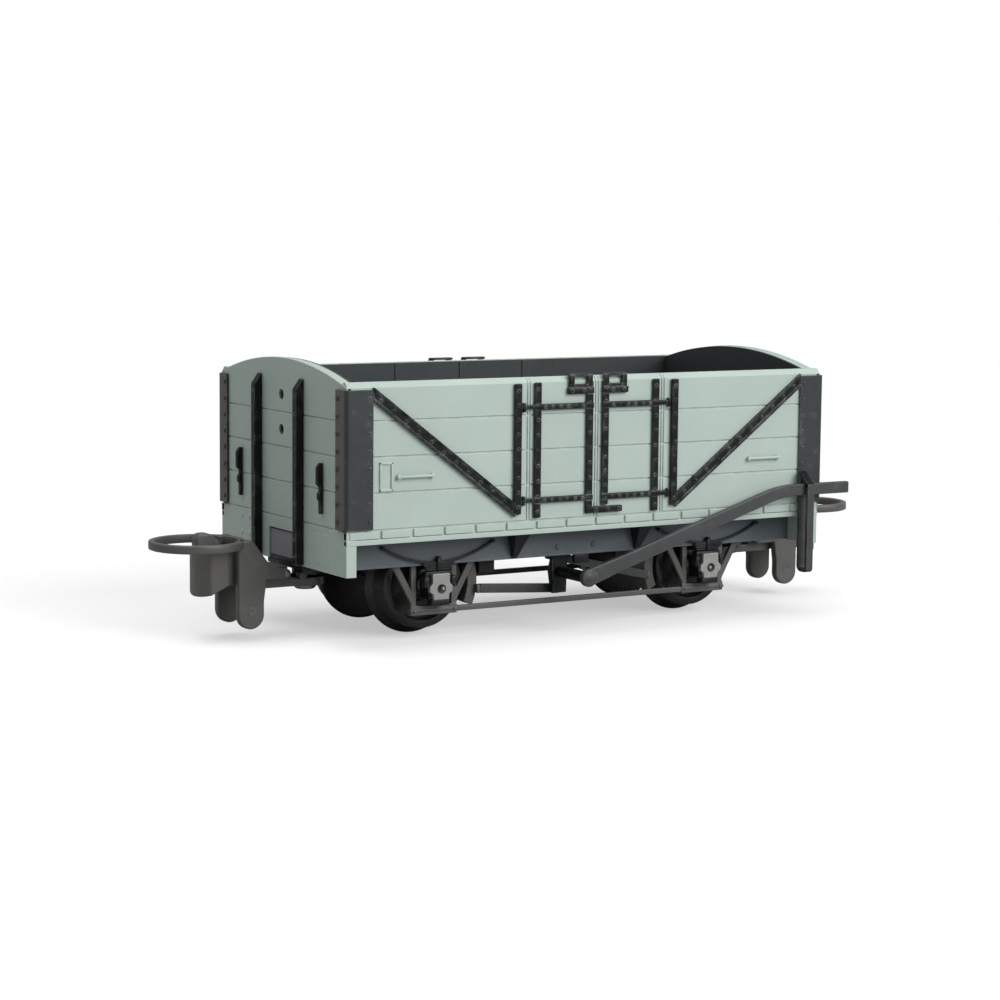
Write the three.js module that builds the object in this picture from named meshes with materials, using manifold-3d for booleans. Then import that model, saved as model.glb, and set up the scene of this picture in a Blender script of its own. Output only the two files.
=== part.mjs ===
// A four-wheel narrow-gauge open goods wagon, as a 9 mm gauge model. Millimetres, +Z up.
// Origin: the middle of the load floor's top face. +X is the front end, +Y is the left side.
// Heights below are measured from rail top, and the finished wagon is lowered onto its origin.
// Most pieces are built once for the front left corner and mirrored to the other corners.
import * as THREE from 'three';
import { mergeVertices } from 'three/addons/utils/BufferGeometryUtils.js';
import Module from 'manifold-3d';

const wasm = await Module();
wasm.setup();

// ---------------------------------------------------------------- driving dimensions
// Body
const BODY_LENGTH = 43;
const BODY_WIDTH = 21.4;
const CURB_BOTTOM = 7.42;
const HEADSTOCK_BOTTOM = 5.09;
const SIDE_FACE_TOP = 18.93;
const RIM_TOP = 19.3;
const RIM_CHAMFER = 0.3;
const ARCH_TOP = 20.58;
const END_THICKNESS = 0.85;
const SIDE_THICKNESS = 0.78;
const LINING_THICKNESS = 0.2;
const LINING_DROP = 0.06;
const FLOOR_BOTTOM = 7.6;
const FLOOR_TOP = 8.6;
const TOP_PLANK_BOTTOM = 16.48;
const PLANK_HEIGHT = 2.64;
const FLOOR_BOARD_TOP = 8.48;
const CURB_TOP = 7.86;
const FLOOR_BOARD_PITCH = 2.67;
const GROOVE_WIDTH = 0.12;
const GROOVE_DEPTH = 0.1;
const END_HOLE_RADIUS = 0.42;
const END_HOLE_HEIGHTS = [15.13, 17.79];
const DRAW_SLOT_HALF_WIDTH = 2.13;
const DRAW_SLOT_TOP = 7.5;

// Black ironwork on the body
const GLUE_GAP = 0.03;
const IRON_THICKNESS = 0.32;
const CORNER_PLATE_THICKNESS = 0.22;
const CORNER_PLATE_BOTTOM = 8.55;
const CORNER_PLATE_TOP = 18.78;
const CORNER_SIDE_FLANGE = 2.1;
const CORNER_END_FLANGE = 1.4;
const CORNER_ROUND = 0.36;
const STRAP_WIDTH = 0.62;
const DOOR_JOINT_X = 6.1;
const DOOR_POST_X = 7.13;
const DOOR_STRAP_X = 5.37;
const CENTRE_STRAP_X = 0.72;
const STRAP_BOTTOM = 8.65;
const POST_BOTTOM = 9;
const HINGE_BAR_BOTTOMS = [16.84, 9.78];
const HINGE_BAR_HEIGHT = 0.46;
const BAR_STEP = 0.08;
const BRACE_WIDTH = 0.84;
const STANCHION_Y = 3.56;
const STANCHION_WIDTH = 0.62;
const STANCHION_DEPTH = 0.7;
const STANCHION_BOTTOM = 5.2;
const STANCHION_TAPER_START = 18.4;
const STANCHION_TOP = 19.19;
const HANDLE_Y = 6.9;
const HANDLE_WIDTH = 0.36;
const HANDLE_BOTTOM = 9.42;
const HANDLE_TOP = 13.2;

// Running gear
const AXLE_X = 12.42;
const AXLE_HEIGHT = 3.45;
const FLANGE_RADIUS = 4;
const AXLE_RADIUS = 0.7;
const JOURNAL_RADIUS = 0.42;
const JOURNAL_END = 8;
const BEARING_CLEARANCE = 0.08;
const WHEEL_BACK = 3.75;
const WHEEL_WIDTH = 2.2;
const ROUND_STEPS = 20;

// Underframe
const SOLEBAR_BOTTOM = 5.2;
const SOLEBAR_TOP = 7.55;
const SOLEBAR_OUTSIDE = 8.05;
const SOLEBAR_INSIDE = 7.6;
const FRAME_HALF_LENGTH = 20.6;
const AXLE_GUARD_THICKNESS = 0.36;
const SHOE_BOTTOM = 1.35;
const SHOE_TOP = 2.1;
const SHOE_HALF_LENGTH = 2;
const SHOE_PROUD = 0.1;
const POST_X = 1.74;
const TIE_BAR_HEIGHT = 0.42;
const TIE_BAR_DEPTH = 0.34;
const SPRING_HALF_LENGTH = 4.8;
const SPRING_LOW = 5.42;
const SPRING_HIGH = 6.75;
const BUCKLE_HALF_WIDTH = 0.28;
const GUSSET_X = 5.65;
const GUSSET_TOP_WIDTH = 1.4;
const GUSSET_FOOT_WIDTH = 0.4;
const GUSSET_REACH = 1.45;
const BOSS_RADIUS = 1;
const BOSS_CLEARANCE = 0.08;
const POCKET_BOTTOM = 4.6;
const POCKET_TOP = 5.05;
const POCKET_FRONT = 21.2;
const POCKET_HALF_WIDTH = 3.1;
const AXLEBOX_FRONT = 8.8;
const AXLEBOX_BACK = 6.9;
const CAP_RADIUS = 0.34;

// Brake gear, on the right side only
const SHAFT_X = -1.16;
const SHAFT_HEIGHT = 3.89;
const SHAFT_RADIUS = 0.45;
const LEVER_OUTSIDE = -11.87;
const LEVER_INSIDE = -11.37;
const LEVER_END = 23.8;
const LEVER_GRIP_HEIGHT = 9.7;
const LEVER_SLOPE_DEGREES = 17.6;
const LEVER_BEND_RADIUS = 9;
const LEVER_BOSS_RADIUS = 0.7;
const GUIDE_X = 19.62;
const GUIDE_WIDTH = 0.66;
const GUIDE_OUTSIDE = -12.3;
const GUIDE_BOTTOM = 3;
const GUIDE_STRAP = 0.3;
const CRANK_OUTSIDE = -7.08;
const CRANK_INSIDE = -6.68;
const ROD_HALF = 0.34;
const ROD_OUTSIDE = -6.6;
const ROD_INSIDE = -6.05;
const SHOE_THICKNESS = 0.82;
const CRANK_DROP = 1.49;
const CRANK_RISE = 1.2;
const ROD_HEIGHT = 2.85;
const SHOE_GAP = 0.36;

// Couplers
const LOOP_X = 28.5;
const LOOP_RADIUS = 3.6;
const LOOP_BAND = 0.65;
const LOOP_BOTTOM = 6.46;
const LOOP_TOP = 7.1;
const LEG_X = 25.03;
const LEG_RADIUS = 1.06;
const LEG_INSIDE = 1.5;
const LEG_OUTSIDE = 2.22;
const LOOP_PIN_X = 22.1;
const LOOP_PIN_HEIGHT = 4.36;
const LOOP_PIN_RADIUS = 0.22;
const COUPLER_PIVOT_X = 19.5;
const SHANK_BOTTOM = 3.2;
const SHANK_TOP = 3.86;
const EYE_RADIUS = 1.5;
const WEB_HALF_WIDTH = 1.35;
const PAD_BACK = 26.7;
const PAD_SHOULDER = 28.2;
const PAD_FRONT = 28.75;
const PAD_HALF_WIDTH = 1.9;
const PAD_BOTTOM = 2.8;
const PAD_BACK_BOTTOM = 3.72;
const PAD_TOP = 6.4;
const NOSE_HALF_WIDTH = 0.6;
const TAIL_RADIUS = 0.4;
const SCREW_HEAD_HEIGHT = 0.35;

// Side fittings
const RAIL_INNER = 14.45;
const RAIL_OUTER = 17.25;
const RAIL_HEIGHT = 12.32;
const RAIL_PROUD = 0.36;
const CLIP_REAR = -18.82;
const CLIP_FRONT = -17.7;
const CLIP_BOTTOM = 11.3;
const CLIP_TOP = 13.44;
const CLIP_RIM = 0.16;
const CLIP_PROUD = 0.14;
const ROOTED = 0.05;

const HALF_LENGTH = BODY_LENGTH / 2;
const HALF_WIDTH = BODY_WIDTH / 2;
const FACE_Y = HALF_WIDTH + GLUE_GAP;
const FACE_X = HALF_LENGTH + GLUE_GAP;

// ---------------------------------------------------------------- shape helpers
function box(x0, x1, y0, y1, z0, z1) {
  const size = [x1 - x0, y1 - y0, z1 - z0].map(Math.abs);
  return new THREE.BoxGeometry(...size).translate((x0 + x1) / 2, (y0 + y1) / 2, (z0 + z1) / 2);
}

function outline(points) {
  return new THREE.Shape(points.map(([a, b]) => new THREE.Vector2(a, b)));
}

function extrude(shape, length, curveSegments = 12) {
  return new THREE.ExtrudeGeometry(shape, { depth: length, bevelEnabled: false, curveSegments });
}

function prismZ(shape, z0, z1, segments) {
  return extrude(shape, z1 - z0, segments).translate(0, 0, z0);
}

// The shape's first axis runs along Y and its second along Z.
function prismX(shape, x0, x1, segments) {
  const turn = new THREE.Matrix4().makeBasis(
    new THREE.Vector3(0, 1, 0),
    new THREE.Vector3(0, 0, 1),
    new THREE.Vector3(1, 0, 0),
  );
  return extrude(shape, x1 - x0, segments).applyMatrix4(turn).translate(x0, 0, 0);
}

// The shape's first axis runs along X and its second along Z.
function prismY(shape, y0, y1, segments) {
  const turn = new THREE.Matrix4().makeBasis(
    new THREE.Vector3(1, 0, 0),
    new THREE.Vector3(0, 0, 1),
    new THREE.Vector3(0, -1, 0),
  );
  return extrude(shape, y1 - y0, segments).applyMatrix4(turn).translate(0, y1, 0);
}

function rodY(radius, x, z, y0, y1, steps = 16) {
  const rod = new THREE.CylinderGeometry(radius, radius, y1 - y0, steps);
  return rod.translate(x, (y0 + y1) / 2, z);
}

function rodX(radius, y, z, x0, x1, steps = 16) {
  const rod = new THREE.CylinderGeometry(radius, radius, x1 - x0, steps).rotateZ(Math.PI / 2);
  return rod.translate((x0 + x1) / 2, y, z);
}

// Profile points are radius and height along the turning axis, Y here.
function turnedY(profile, steps = ROUND_STEPS) {
  return new THREE.LatheGeometry(profile.map(([r, y]) => new THREE.Vector2(r, y)), steps);
}

function turnedZ(profile, x, steps = ROUND_STEPS) {
  return turnedY(profile, steps).rotateX(Math.PI / 2).translate(x, 0, 0);
}

function solid(geometry) {
  const bare = geometry.clone();
  bare.deleteAttribute('normal');
  bare.deleteAttribute('uv');
  const merged = mergeVertices(bare, 1e-4);
  return new wasm.Manifold(new wasm.Mesh({
    numProp: 3,
    vertProperties: new Float32Array(merged.attributes.position.array),
    triVerts: new Uint32Array(merged.index.array),
  }));
}

function geometryOf(body) {
  const mesh = body.getMesh();
  const geometry = new THREE.BufferGeometry();
  geometry.setAttribute('position', new THREE.BufferAttribute(mesh.vertProperties, 3));
  geometry.setIndex(new THREE.BufferAttribute(mesh.triVerts, 1));
  geometry.computeVertexNormals();
  return geometry;
}

function join(geometries) {
  return geometries.map(solid).reduce((whole, piece) => whole.add(piece));
}

function cutFrom(whole, geometries) {
  return geometries.map(solid).reduce((rest, tool) => rest.subtract(tool), whole);
}

// A band of varying width along a centre line; each entry is [x, z, half width].
function ribbon(line) {
  const sides = line.map(([x, z, half], i) => {
    const before = line[Math.max(i - 1, 0)];
    const after = line[Math.min(i + 1, line.length - 1)];
    const along = new THREE.Vector2(after[0] - before[0], after[1] - before[1]).normalize();
    return {
      upper: [x - along.y * half, z + along.x * half],
      lower: [x + along.y * half, z - along.x * half],
    };
  });
  return outline([...sides.map((s) => s.lower), ...sides.map((s) => s.upper).reverse()]);
}

// ---------------------------------------------------------------- body
// The end wall: straight sides, an arched top and a bottom edge at the given height.
function endShape(halfWidth, bottom, drop) {
  const rise = ARCH_TOP - SIDE_FACE_TOP;
  const radius = (HALF_WIDTH ** 2 + rise ** 2) / (2 * rise);
  const centre = ARCH_TOP - radius;
  const arc = radius - drop;
  const angle = Math.asin(halfWidth / arc);
  const shape = new THREE.Shape();
  shape.moveTo(-halfWidth, bottom);
  shape.lineTo(halfWidth, bottom);
  shape.absarc(0, centre, arc, Math.PI / 2 - angle, Math.PI / 2 + angle, false);
  return shape;
}

function plankGrooves() {
  const tools = [];
  const planks = [0, 1, 2].map((k) => TOP_PLANK_BOTTOM - k * PLANK_HEIGHT);
  for (const height of [...planks, FLOOR_BOARD_TOP]) {
    const z0 = height - GROOVE_WIDTH / 2;
    const z1 = height + GROOVE_WIDTH / 2;
    for (const side of [1, -1]) {
      const inside = side * (HALF_WIDTH - GROOVE_DEPTH);
      tools.push(box(-HALF_LENGTH - 1, HALF_LENGTH + 1, inside, side * (HALF_WIDTH + 1), z0, z1));
    }
    for (const end of [1, -1]) {
      const inside = end * (HALF_LENGTH - GROOVE_DEPTH);
      tools.push(box(inside, end * (HALF_LENGTH + 1), -HALF_WIDTH - 1, HALF_WIDTH + 1, z0, z1));
    }
  }
  return tools;
}

// Floor board ends and the door joints, cut as upright grooves in both side faces.
function uprightGrooves() {
  const tools = [];
  const upright = (x, z0, z1, side) => {
    const inside = side * (HALF_WIDTH - GROOVE_DEPTH);
    return box(x - GROOVE_WIDTH / 2, x + GROOVE_WIDTH / 2, inside, side * (HALF_WIDTH + 1), z0, z1);
  };
  for (const side of [1, -1]) {
    for (let k = -7; k <= 7; k += 1) {
      tools.push(upright(k * FLOOR_BOARD_PITCH, CURB_TOP, FLOOR_BOARD_TOP, side));
    }
    for (const x of [-DOOR_JOINT_X, 0, DOOR_JOINT_X]) {
      tools.push(upright(x, FLOOR_BOARD_TOP, SIDE_FACE_TOP, side));
    }
  }
  return tools;
}

// A moulded grab rail on the side: two stand-offs and a rod.
function sideRail(end, side) {
  const postHalf = 0.18;
  const rodHalf = 0.12;
  const face = side * (HALF_WIDTH - ROOTED);
  const rodInside = side * (HALF_WIDTH + RAIL_PROUD - 0.2);
  const rodOutside = side * (HALF_WIDTH + RAIL_PROUD);
  const between = (x0, x1, y0, half) => (
    box(end * x0, end * x1, y0, rodOutside, RAIL_HEIGHT - half, RAIL_HEIGHT + half)
  );
  return [
    between(RAIL_INNER - postHalf, RAIL_INNER + postHalf, face, postHalf),
    between(RAIL_OUTER - postHalf, RAIL_OUTER + postHalf, face, postHalf),
    between(RAIL_INNER, RAIL_OUTER, rodInside, rodHalf),
  ];
}

// The moulded frame that holds a wagon's ticket, beside the rear grab rail.
function ticketClip(side) {
  const face = side * (HALF_WIDTH - ROOTED);
  const proud = side * (HALF_WIDTH + CLIP_PROUD);
  const bar = (x0, x1, z0, z1) => box(x0, x1, face, proud, z0, z1);
  return [
    bar(CLIP_REAR, CLIP_REAR + CLIP_RIM, CLIP_BOTTOM, CLIP_TOP),
    bar(CLIP_FRONT - CLIP_RIM, CLIP_FRONT, CLIP_BOTTOM, CLIP_TOP),
    bar(CLIP_REAR, CLIP_FRONT, CLIP_BOTTOM, CLIP_BOTTOM + CLIP_RIM),
    bar(CLIP_REAR, CLIP_FRONT, CLIP_TOP - CLIP_RIM, CLIP_TOP),
  ];
}

function bodyShell() {
  const inside = HALF_WIDTH - SIDE_THICKNESS;
  const sideEnd = HALF_LENGTH - END_THICKNESS / 2;
  const pieces = [];
  for (const end of [1, -1]) {
    const x = [end * HALF_LENGTH, end * (HALF_LENGTH - END_THICKNESS)].sort((a, b) => a - b);
    pieces.push(prismX(endShape(HALF_WIDTH, HEADSTOCK_BOTTOM, 0), ...x, 20));
  }
  for (const side of [1, -1]) {
    const section = outline([
      [side * inside, CURB_BOTTOM],
      [side * HALF_WIDTH, CURB_BOTTOM],
      [side * HALF_WIDTH, SIDE_FACE_TOP],
      [side * (HALF_WIDTH - RIM_CHAMFER), RIM_TOP],
      [side * inside, RIM_TOP],
    ]);
    pieces.push(prismX(section, -sideEnd, sideEnd));
    pieces.push(...sideRail(1, side), ...sideRail(-1, side), ...ticketClip(side));
  }
  const tools = [...plankGrooves(), ...uprightGrooves()];
  for (const end of [1, -1]) {
    const x = [end * (HALF_LENGTH - 1.2), end * (HALF_LENGTH + 0.2)].sort((a, b) => a - b);
    for (const height of END_HOLE_HEIGHTS) tools.push(rodX(END_HOLE_RADIUS, 0, height, ...x));
    tools.push(box(...x, -DRAW_SLOT_HALF_WIDTH, DRAW_SLOT_HALF_WIDTH, HEADSTOCK_BOTTOM - 1, DRAW_SLOT_TOP));
  }
  return geometryOf(cutFrom(join(pieces), tools));
}

// The black inner tub: the load floor and a thin lining on all four walls.
function innerTub() {
  const x1 = HALF_LENGTH - END_THICKNESS - GLUE_GAP;
  const x0 = x1 - LINING_THICKNESS;
  const y1 = HALF_WIDTH - SIDE_THICKNESS - GLUE_GAP;
  const y0 = y1 - LINING_THICKNESS;
  const top = RIM_TOP - LINING_DROP;
  const pieces = [box(-x1, x1, -y1, y1, FLOOR_BOTTOM, FLOOR_TOP)];
  for (const sign of [1, -1]) {
    pieces.push(box(-x1, x1, sign * y0, sign * y1, FLOOR_BOTTOM, top));
    const x = [sign * x0, sign * x1].sort((a, b) => a - b);
    pieces.push(prismX(endShape(y1, FLOOR_BOTTOM, LINING_DROP), ...x, 20));
  }
  return geometryOf(join(pieces));
}

// ---------------------------------------------------------------- ironwork on the body
function cornerPlate() {
  const x1 = HALF_LENGTH + CORNER_PLATE_THICKNESS;
  const y1 = HALF_WIDTH + CORNER_PLATE_THICKNESS;
  const shape = new THREE.Shape();
  shape.moveTo(HALF_LENGTH - CORNER_SIDE_FLANGE, FACE_Y);
  shape.lineTo(FACE_X, FACE_Y);
  shape.lineTo(FACE_X, HALF_WIDTH - CORNER_END_FLANGE);
  shape.lineTo(x1, HALF_WIDTH - CORNER_END_FLANGE);
  shape.absarc(x1 - CORNER_ROUND, y1 - CORNER_ROUND, CORNER_ROUND, 0, Math.PI / 2, false);
  shape.lineTo(HALF_LENGTH - CORNER_SIDE_FLANGE, y1);
  return prismZ(shape, CORNER_PLATE_BOTTOM, CORNER_PLATE_TOP, 5);
}

function endStanchion() {
  const tip = HALF_LENGTH + STANCHION_DEPTH;
  const shape = outline([
    [FACE_X, STANCHION_BOTTOM],
    [tip, STANCHION_BOTTOM],
    [tip, STANCHION_TAPER_START],
    [FACE_X + 0.12, STANCHION_TOP],
    [FACE_X, STANCHION_TOP],
  ]);
  return prismY(shape, STANCHION_Y - STANCHION_WIDTH / 2, STANCHION_Y + STANCHION_WIDTH / 2);
}

// An upright cast grab handle: a deep grip above, a notch, a small knuckle and a foot.
function endHandle() {
  const web = FACE_X + 0.26;
  const knuckle = FACE_X + 0.4;
  const grip = FACE_X + 0.5;
  const shape = outline([
    [FACE_X, HANDLE_BOTTOM],
    [web, HANDLE_BOTTOM],
    [web, 10.35],
    [knuckle, 10.55],
    [knuckle, 10.9],
    [web, 11.1],
    [web, 11.4],
    [grip, 11.65],
    [grip, 12.85],
    [web, HANDLE_TOP],
    [FACE_X, HANDLE_TOP],
  ]);
  return prismY(shape, HANDLE_Y - HANDLE_WIDTH / 2, HANDLE_Y + HANDLE_WIDTH / 2);
}

// The door post and the diagonal brace that runs up from its foot to the corner plate.
function sideBrace() {
  const outside = HALF_WIDTH + IRON_THICKNESS;
  const edge = HALF_LENGTH - CORNER_SIDE_FLANGE - GLUE_GAP;
  const foot = [DOOR_POST_X + 0.2, 9.36];
  const head = [edge + 0.4, 18.72];
  const beyond = 3;
  const past = [FACE_Y - 1, outside + 1];
  const post = box(
    DOOR_POST_X - STRAP_WIDTH / 2,
    DOOR_POST_X + STRAP_WIDTH / 2,
    FACE_Y,
    outside,
    POST_BOTTOM,
    SIDE_FACE_TOP - GLUE_GAP,
  );
  const brace = prismY(ribbon([[...foot, BRACE_WIDTH / 2], [...head, BRACE_WIDTH / 2]]), FACE_Y, outside);
  const overCornerPlate = box(edge, edge + beyond, ...past, 0, ARCH_TOP);
  const overTop = box(0, edge + beyond, ...past, CORNER_PLATE_TOP + 0.09, ARCH_TOP);
  return geometryOf(cutFrom(join([post, brace]), [overCornerPlate, overTop]));
}

// One door's straps, hinge bars and top latch. The rear door also carries the bottom latch bar.
function doorIronwork(hasBottomLatch) {
  const outside = HALF_WIDTH + IRON_THICKNESS;
  const raised = outside + BAR_STEP;
  const half = STRAP_WIDTH / 2;
  const innerEdge = CENTRE_STRAP_X - half;
  const hingeEnd = DOOR_POST_X - half - GLUE_GAP;
  const centreBottom = hasBottomLatch ? 8.76 : 9.36;
  const strap = (x, bottom, top) => box(x - half, x + half, FACE_Y, outside, bottom, top);
  const bar = (x0, x1, z0, z1) => box(x0, x1, FACE_Y, raised, z0, z1);
  const pieces = [
    strap(DOOR_STRAP_X, STRAP_BOTTOM, SIDE_FACE_TOP),
    strap(CENTRE_STRAP_X, centreBottom, SIDE_FACE_TOP),
    ...HINGE_BAR_BOTTOMS.map((z) => bar(innerEdge, hingeEnd, z, z + HINGE_BAR_HEIGHT)),
    ...topLatch(innerEdge, outside, raised),
  ];
  if (hasBottomLatch) pieces.push(bar(-2.3, CENTRE_STRAP_X, 8.76, 9.28));
  return geometryOf(join(pieces));
}

// A bar under the rim and a bent loop that hooks over it, leaving a small window.
function topLatch(innerEdge, outside, raised) {
  const left = innerEdge + 0.1;
  const right = 2.62;
  const legWidth = 0.48;
  const barBottom = 17.96;
  const barTop = 18.5;
  const legTop = 19.42;
  return [
    box(innerEdge, right + 0.12, FACE_Y, raised, barBottom, barTop),
    box(left, right, FACE_Y, outside, barTop - 0.1, barTop + 0.22),
    box(left, left + legWidth, FACE_Y, outside, barTop, legTop),
    box(right - legWidth, right, FACE_Y, outside, barTop, legTop),
    box(left, right, HALF_WIDTH - RIM_CHAMFER, outside, RIM_TOP + GLUE_GAP, legTop + 0.1),
  ];
}

// ---------------------------------------------------------------- underframe
function solebar(side) {
  return box(
    -FRAME_HALF_LENGTH,
    FRAME_HALF_LENGTH,
    side * SOLEBAR_INSIDE,
    side * SOLEBAR_OUTSIDE,
    SOLEBAR_BOTTOM,
    SOLEBAR_TOP,
  );
}

// A knee that carries the overhanging body side, drawn in to a narrow foot on the solebar.
function gusset(end, side) {
  const reach = SOLEBAR_OUTSIDE + GUSSET_REACH;
  const inner = side * (SOLEBAR_OUTSIDE - 0.1);
  const top = SOLEBAR_TOP;
  const bottom = SOLEBAR_BOTTOM + 0.1;
  const x = end * GUSSET_X;
  const profile = outline([
    [inner, bottom],
    [side * (SOLEBAR_OUTSIDE + 0.15), bottom],
    [side * reach, top - 0.25],
    [side * reach, top],
    [inner, top],
  ]);
  const face = outline([
    [x - GUSSET_FOOT_WIDTH / 2, bottom],
    [x + GUSSET_FOOT_WIDTH / 2, bottom],
    [x + GUSSET_TOP_WIDTH / 2, top],
    [x - GUSSET_TOP_WIDTH / 2, top],
  ]);
  const across = solid(prismX(profile, x - GUSSET_TOP_WIDTH, x + GUSSET_TOP_WIDTH));
  return geometryOf(across.intersect(solid(prismY(face, -HALF_WIDTH, HALF_WIDTH))));
}

// The chassis: two solebars, cross members, and at each end a centre beam, a draw plate, the coupler's
// pocket and two side knees. A small bracket hangs under the right solebar.
function underframe() {
  const inner = SOLEBAR_INSIDE + 0.1;
  const memberBottom = SOLEBAR_BOTTOM + 0.05;
  const drawHalfWidth = DRAW_SLOT_HALF_WIDTH - 0.13;
  const bossTop = memberBottom + 0.2;
  const bossBottom = SHANK_TOP + BOSS_CLEARANCE;
  const boss = [[0, bossBottom], [BOSS_RADIUS, bossBottom], [BOSS_RADIUS, bossTop], [0, bossTop]];
  const holeBottom = bossBottom - 1;
  const screwHole = [[0, holeBottom], [0.55, holeBottom], [0.55, 5.3], [0.47, 5.3], [0.47, 6.9], [0, 6.9]];
  const bracket = box(-0.1, 1.25, -SOLEBAR_OUTSIDE, -SOLEBAR_INSIDE, 4.5, memberBottom);
  const pieces = [solebar(1), solebar(-1), bracket];
  const tools = [];
  for (const end of [1, -1]) {
    pieces.push(
      box(end * 18.3, end * FRAME_HALF_LENGTH, -inner, inner, memberBottom, SOLEBAR_TOP),
      box(end * 6, end * 7.4, -inner, inner, memberBottom, SOLEBAR_TOP),
      box(end * 7, end * 19, -1.2, 1.2, 6, SOLEBAR_TOP),
      box(end * 20, end * (HALF_LENGTH - 0.12), -drawHalfWidth, drawHalfWidth, 5.3, 7.4),
      box(end * 20, end * POCKET_FRONT, -POCKET_HALF_WIDTH, POCKET_HALF_WIDTH, POCKET_BOTTOM, POCKET_TOP),
      box(end * 20, end * 20.55, -drawHalfWidth, drawHalfWidth, POCKET_TOP - 0.1, 5.4),
      box(end * 6, end * 7.4, -5.75, -4.6, 3.9, memberBottom + 0.1),
      turnedZ(boss, end * COUPLER_PIVOT_X),
      gusset(end, 1),
      gusset(end, -1),
    );
    tools.push(turnedZ(screwHole, end * COUPLER_PIVOT_X));
  }
  return geometryOf(cutFrom(join(pieces), tools));
}

function ballastPlate() {
  return box(-5.85, 5.85, -7, 7, 5.95, 7.5);
}

// The W-shaped axle guard behind the solebar, around an axle at x = 0 of its own mesh.
function axleGuard() {
  const y1 = SOLEBAR_INSIDE - GLUE_GAP;
  const y0 = y1 - AXLE_GUARD_THICKNESS;
  const top = 6.9;
  const half = 0.22;
  const post = (x) => box(x - half, x + half, y0, y1, SHOE_BOTTOM, top);
  const strut = (end) => prismY(ribbon([
    [end * POST_X, 2.35, 0.25],
    [end * 3.55, 5.7, 0.25],
    [end * 3.7, top, 0.25],
  ]), y0, y1);
  return geometryOf(join([
    box(-3.95, 3.95, y0, y1, 6, top),
    box(-SHOE_HALF_LENGTH, SHOE_HALF_LENGTH, y0, y1 + SHOE_PROUD, SHOE_BOTTOM, SHOE_TOP),
    post(-POST_X),
    post(POST_X),
    strut(1),
    strut(-1),
  ]));
}

// The axlebox around the journal, with its winged cover, its keep and a recess for the cap screw.
function axlebox() {
  const coverBack = AXLEBOX_FRONT - 0.45;
  const shellHalf = 0.9;
  const coverShape = outline([
    [-0.66, -0.83], [0.66, -0.83], [0.7, -0.4], [0.98, -0.22], [0.98, 0.2], [0.74, 0.42],
    [0.74, 1.16], [-0.74, 1.16], [-0.74, 0.42], [-0.98, 0.2], [-0.98, -0.22], [-0.7, -0.4],
  ]);
  const bearing = JOURNAL_RADIUS + BEARING_CLEARANCE;
  const body = join([
    prismY(coverShape, coverBack, AXLEBOX_FRONT).translate(0, 0, AXLE_HEIGHT),
    box(-shellHalf, shellHalf, AXLEBOX_BACK, coverBack + 0.05, AXLE_HEIGHT - 0.85, AXLE_HEIGHT + 0.85),
    box(-1.15, 1.15, 7.75, coverBack + 0.05, AXLE_HEIGHT + 0.8, AXLE_HEIGHT + 1.3),
    box(-0.78, 0.78, 7.9, AXLEBOX_FRONT - 0.1, AXLE_HEIGHT - 1.28, AXLE_HEIGHT - 0.8),
  ]);
  return geometryOf(cutFrom(body, [
    rodY(CAP_RADIUS, 0, AXLE_HEIGHT, AXLEBOX_FRONT - 0.2, AXLEBOX_FRONT + 1),
    rodY(bearing, 0, AXLE_HEIGHT, AXLEBOX_BACK - 1, JOURNAL_END + 0.12, ROUND_STEPS),
  ]));
}

// A leaf spring against the solebar, with its short lower leaves and its buckle over the axlebox.
function leafSpring() {
  const y0 = SOLEBAR_OUTSIDE + GLUE_GAP;
  const steps = 12;
  const centreLine = Array.from({ length: steps + 1 }, (_, i) => {
    const t = (2 * i) / steps - 1;
    const half = 0.14 - 0.06 * Math.abs(t);
    return [t * SPRING_HALF_LENGTH, SPRING_LOW + (SPRING_HIGH - SPRING_LOW) * t * t, half];
  });
  const leavesBottom = AXLE_HEIGHT + 1.33;
  return geometryOf(join([
    prismY(ribbon(centreLine), y0, y0 + 0.26),
    box(-1.2, 1.2, y0, y0 + 0.3, leavesBottom, SPRING_LOW),
    box(-BUCKLE_HALF_WIDTH, BUCKLE_HALF_WIDTH, y0, y0 + 0.42, leavesBottom, SPRING_LOW + 0.45),
  ]));
}

function tieBar() {
  const reach = AXLE_X - SHOE_HALF_LENGTH - GLUE_GAP;
  const y1 = SOLEBAR_INSIDE + 0.07;
  const z0 = SHOE_BOTTOM + 0.12;
  return box(-reach, reach, y1 - TIE_BAR_DEPTH, y1, z0, z0 + TIE_BAR_HEIGHT);
}

// ---------------------------------------------------------------- wheels
// One wheel on the left side, centred on the axle line, its flange towards the wagon's middle.
function wheel() {
  const bore = AXLE_RADIUS + 0.02;
  const tread = AXLE_HEIGHT;
  const profile = [
    [bore, 0],
    [FLANGE_RADIUS - 0.14, 0],
    [FLANGE_RADIUS, 0.14],
    [FLANGE_RADIUS - 0.03, 0.3],
    [tread + 0.08, 0.52],
    [tread, 0.7],
    [tread - 0.05, WHEEL_WIDTH - 0.1],
    [tread - 0.15, WHEEL_WIDTH],
    [tread - 0.68, WHEEL_WIDTH],
    [tread - 0.78, 1.35],
    [1.35, 1.35],
    [1.2, WHEEL_WIDTH - 0.1],
    [bore, WHEEL_WIDTH - 0.1],
    [bore, 0],
  ];
  return turnedY(profile).translate(0, WHEEL_BACK, 0);
}

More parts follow.
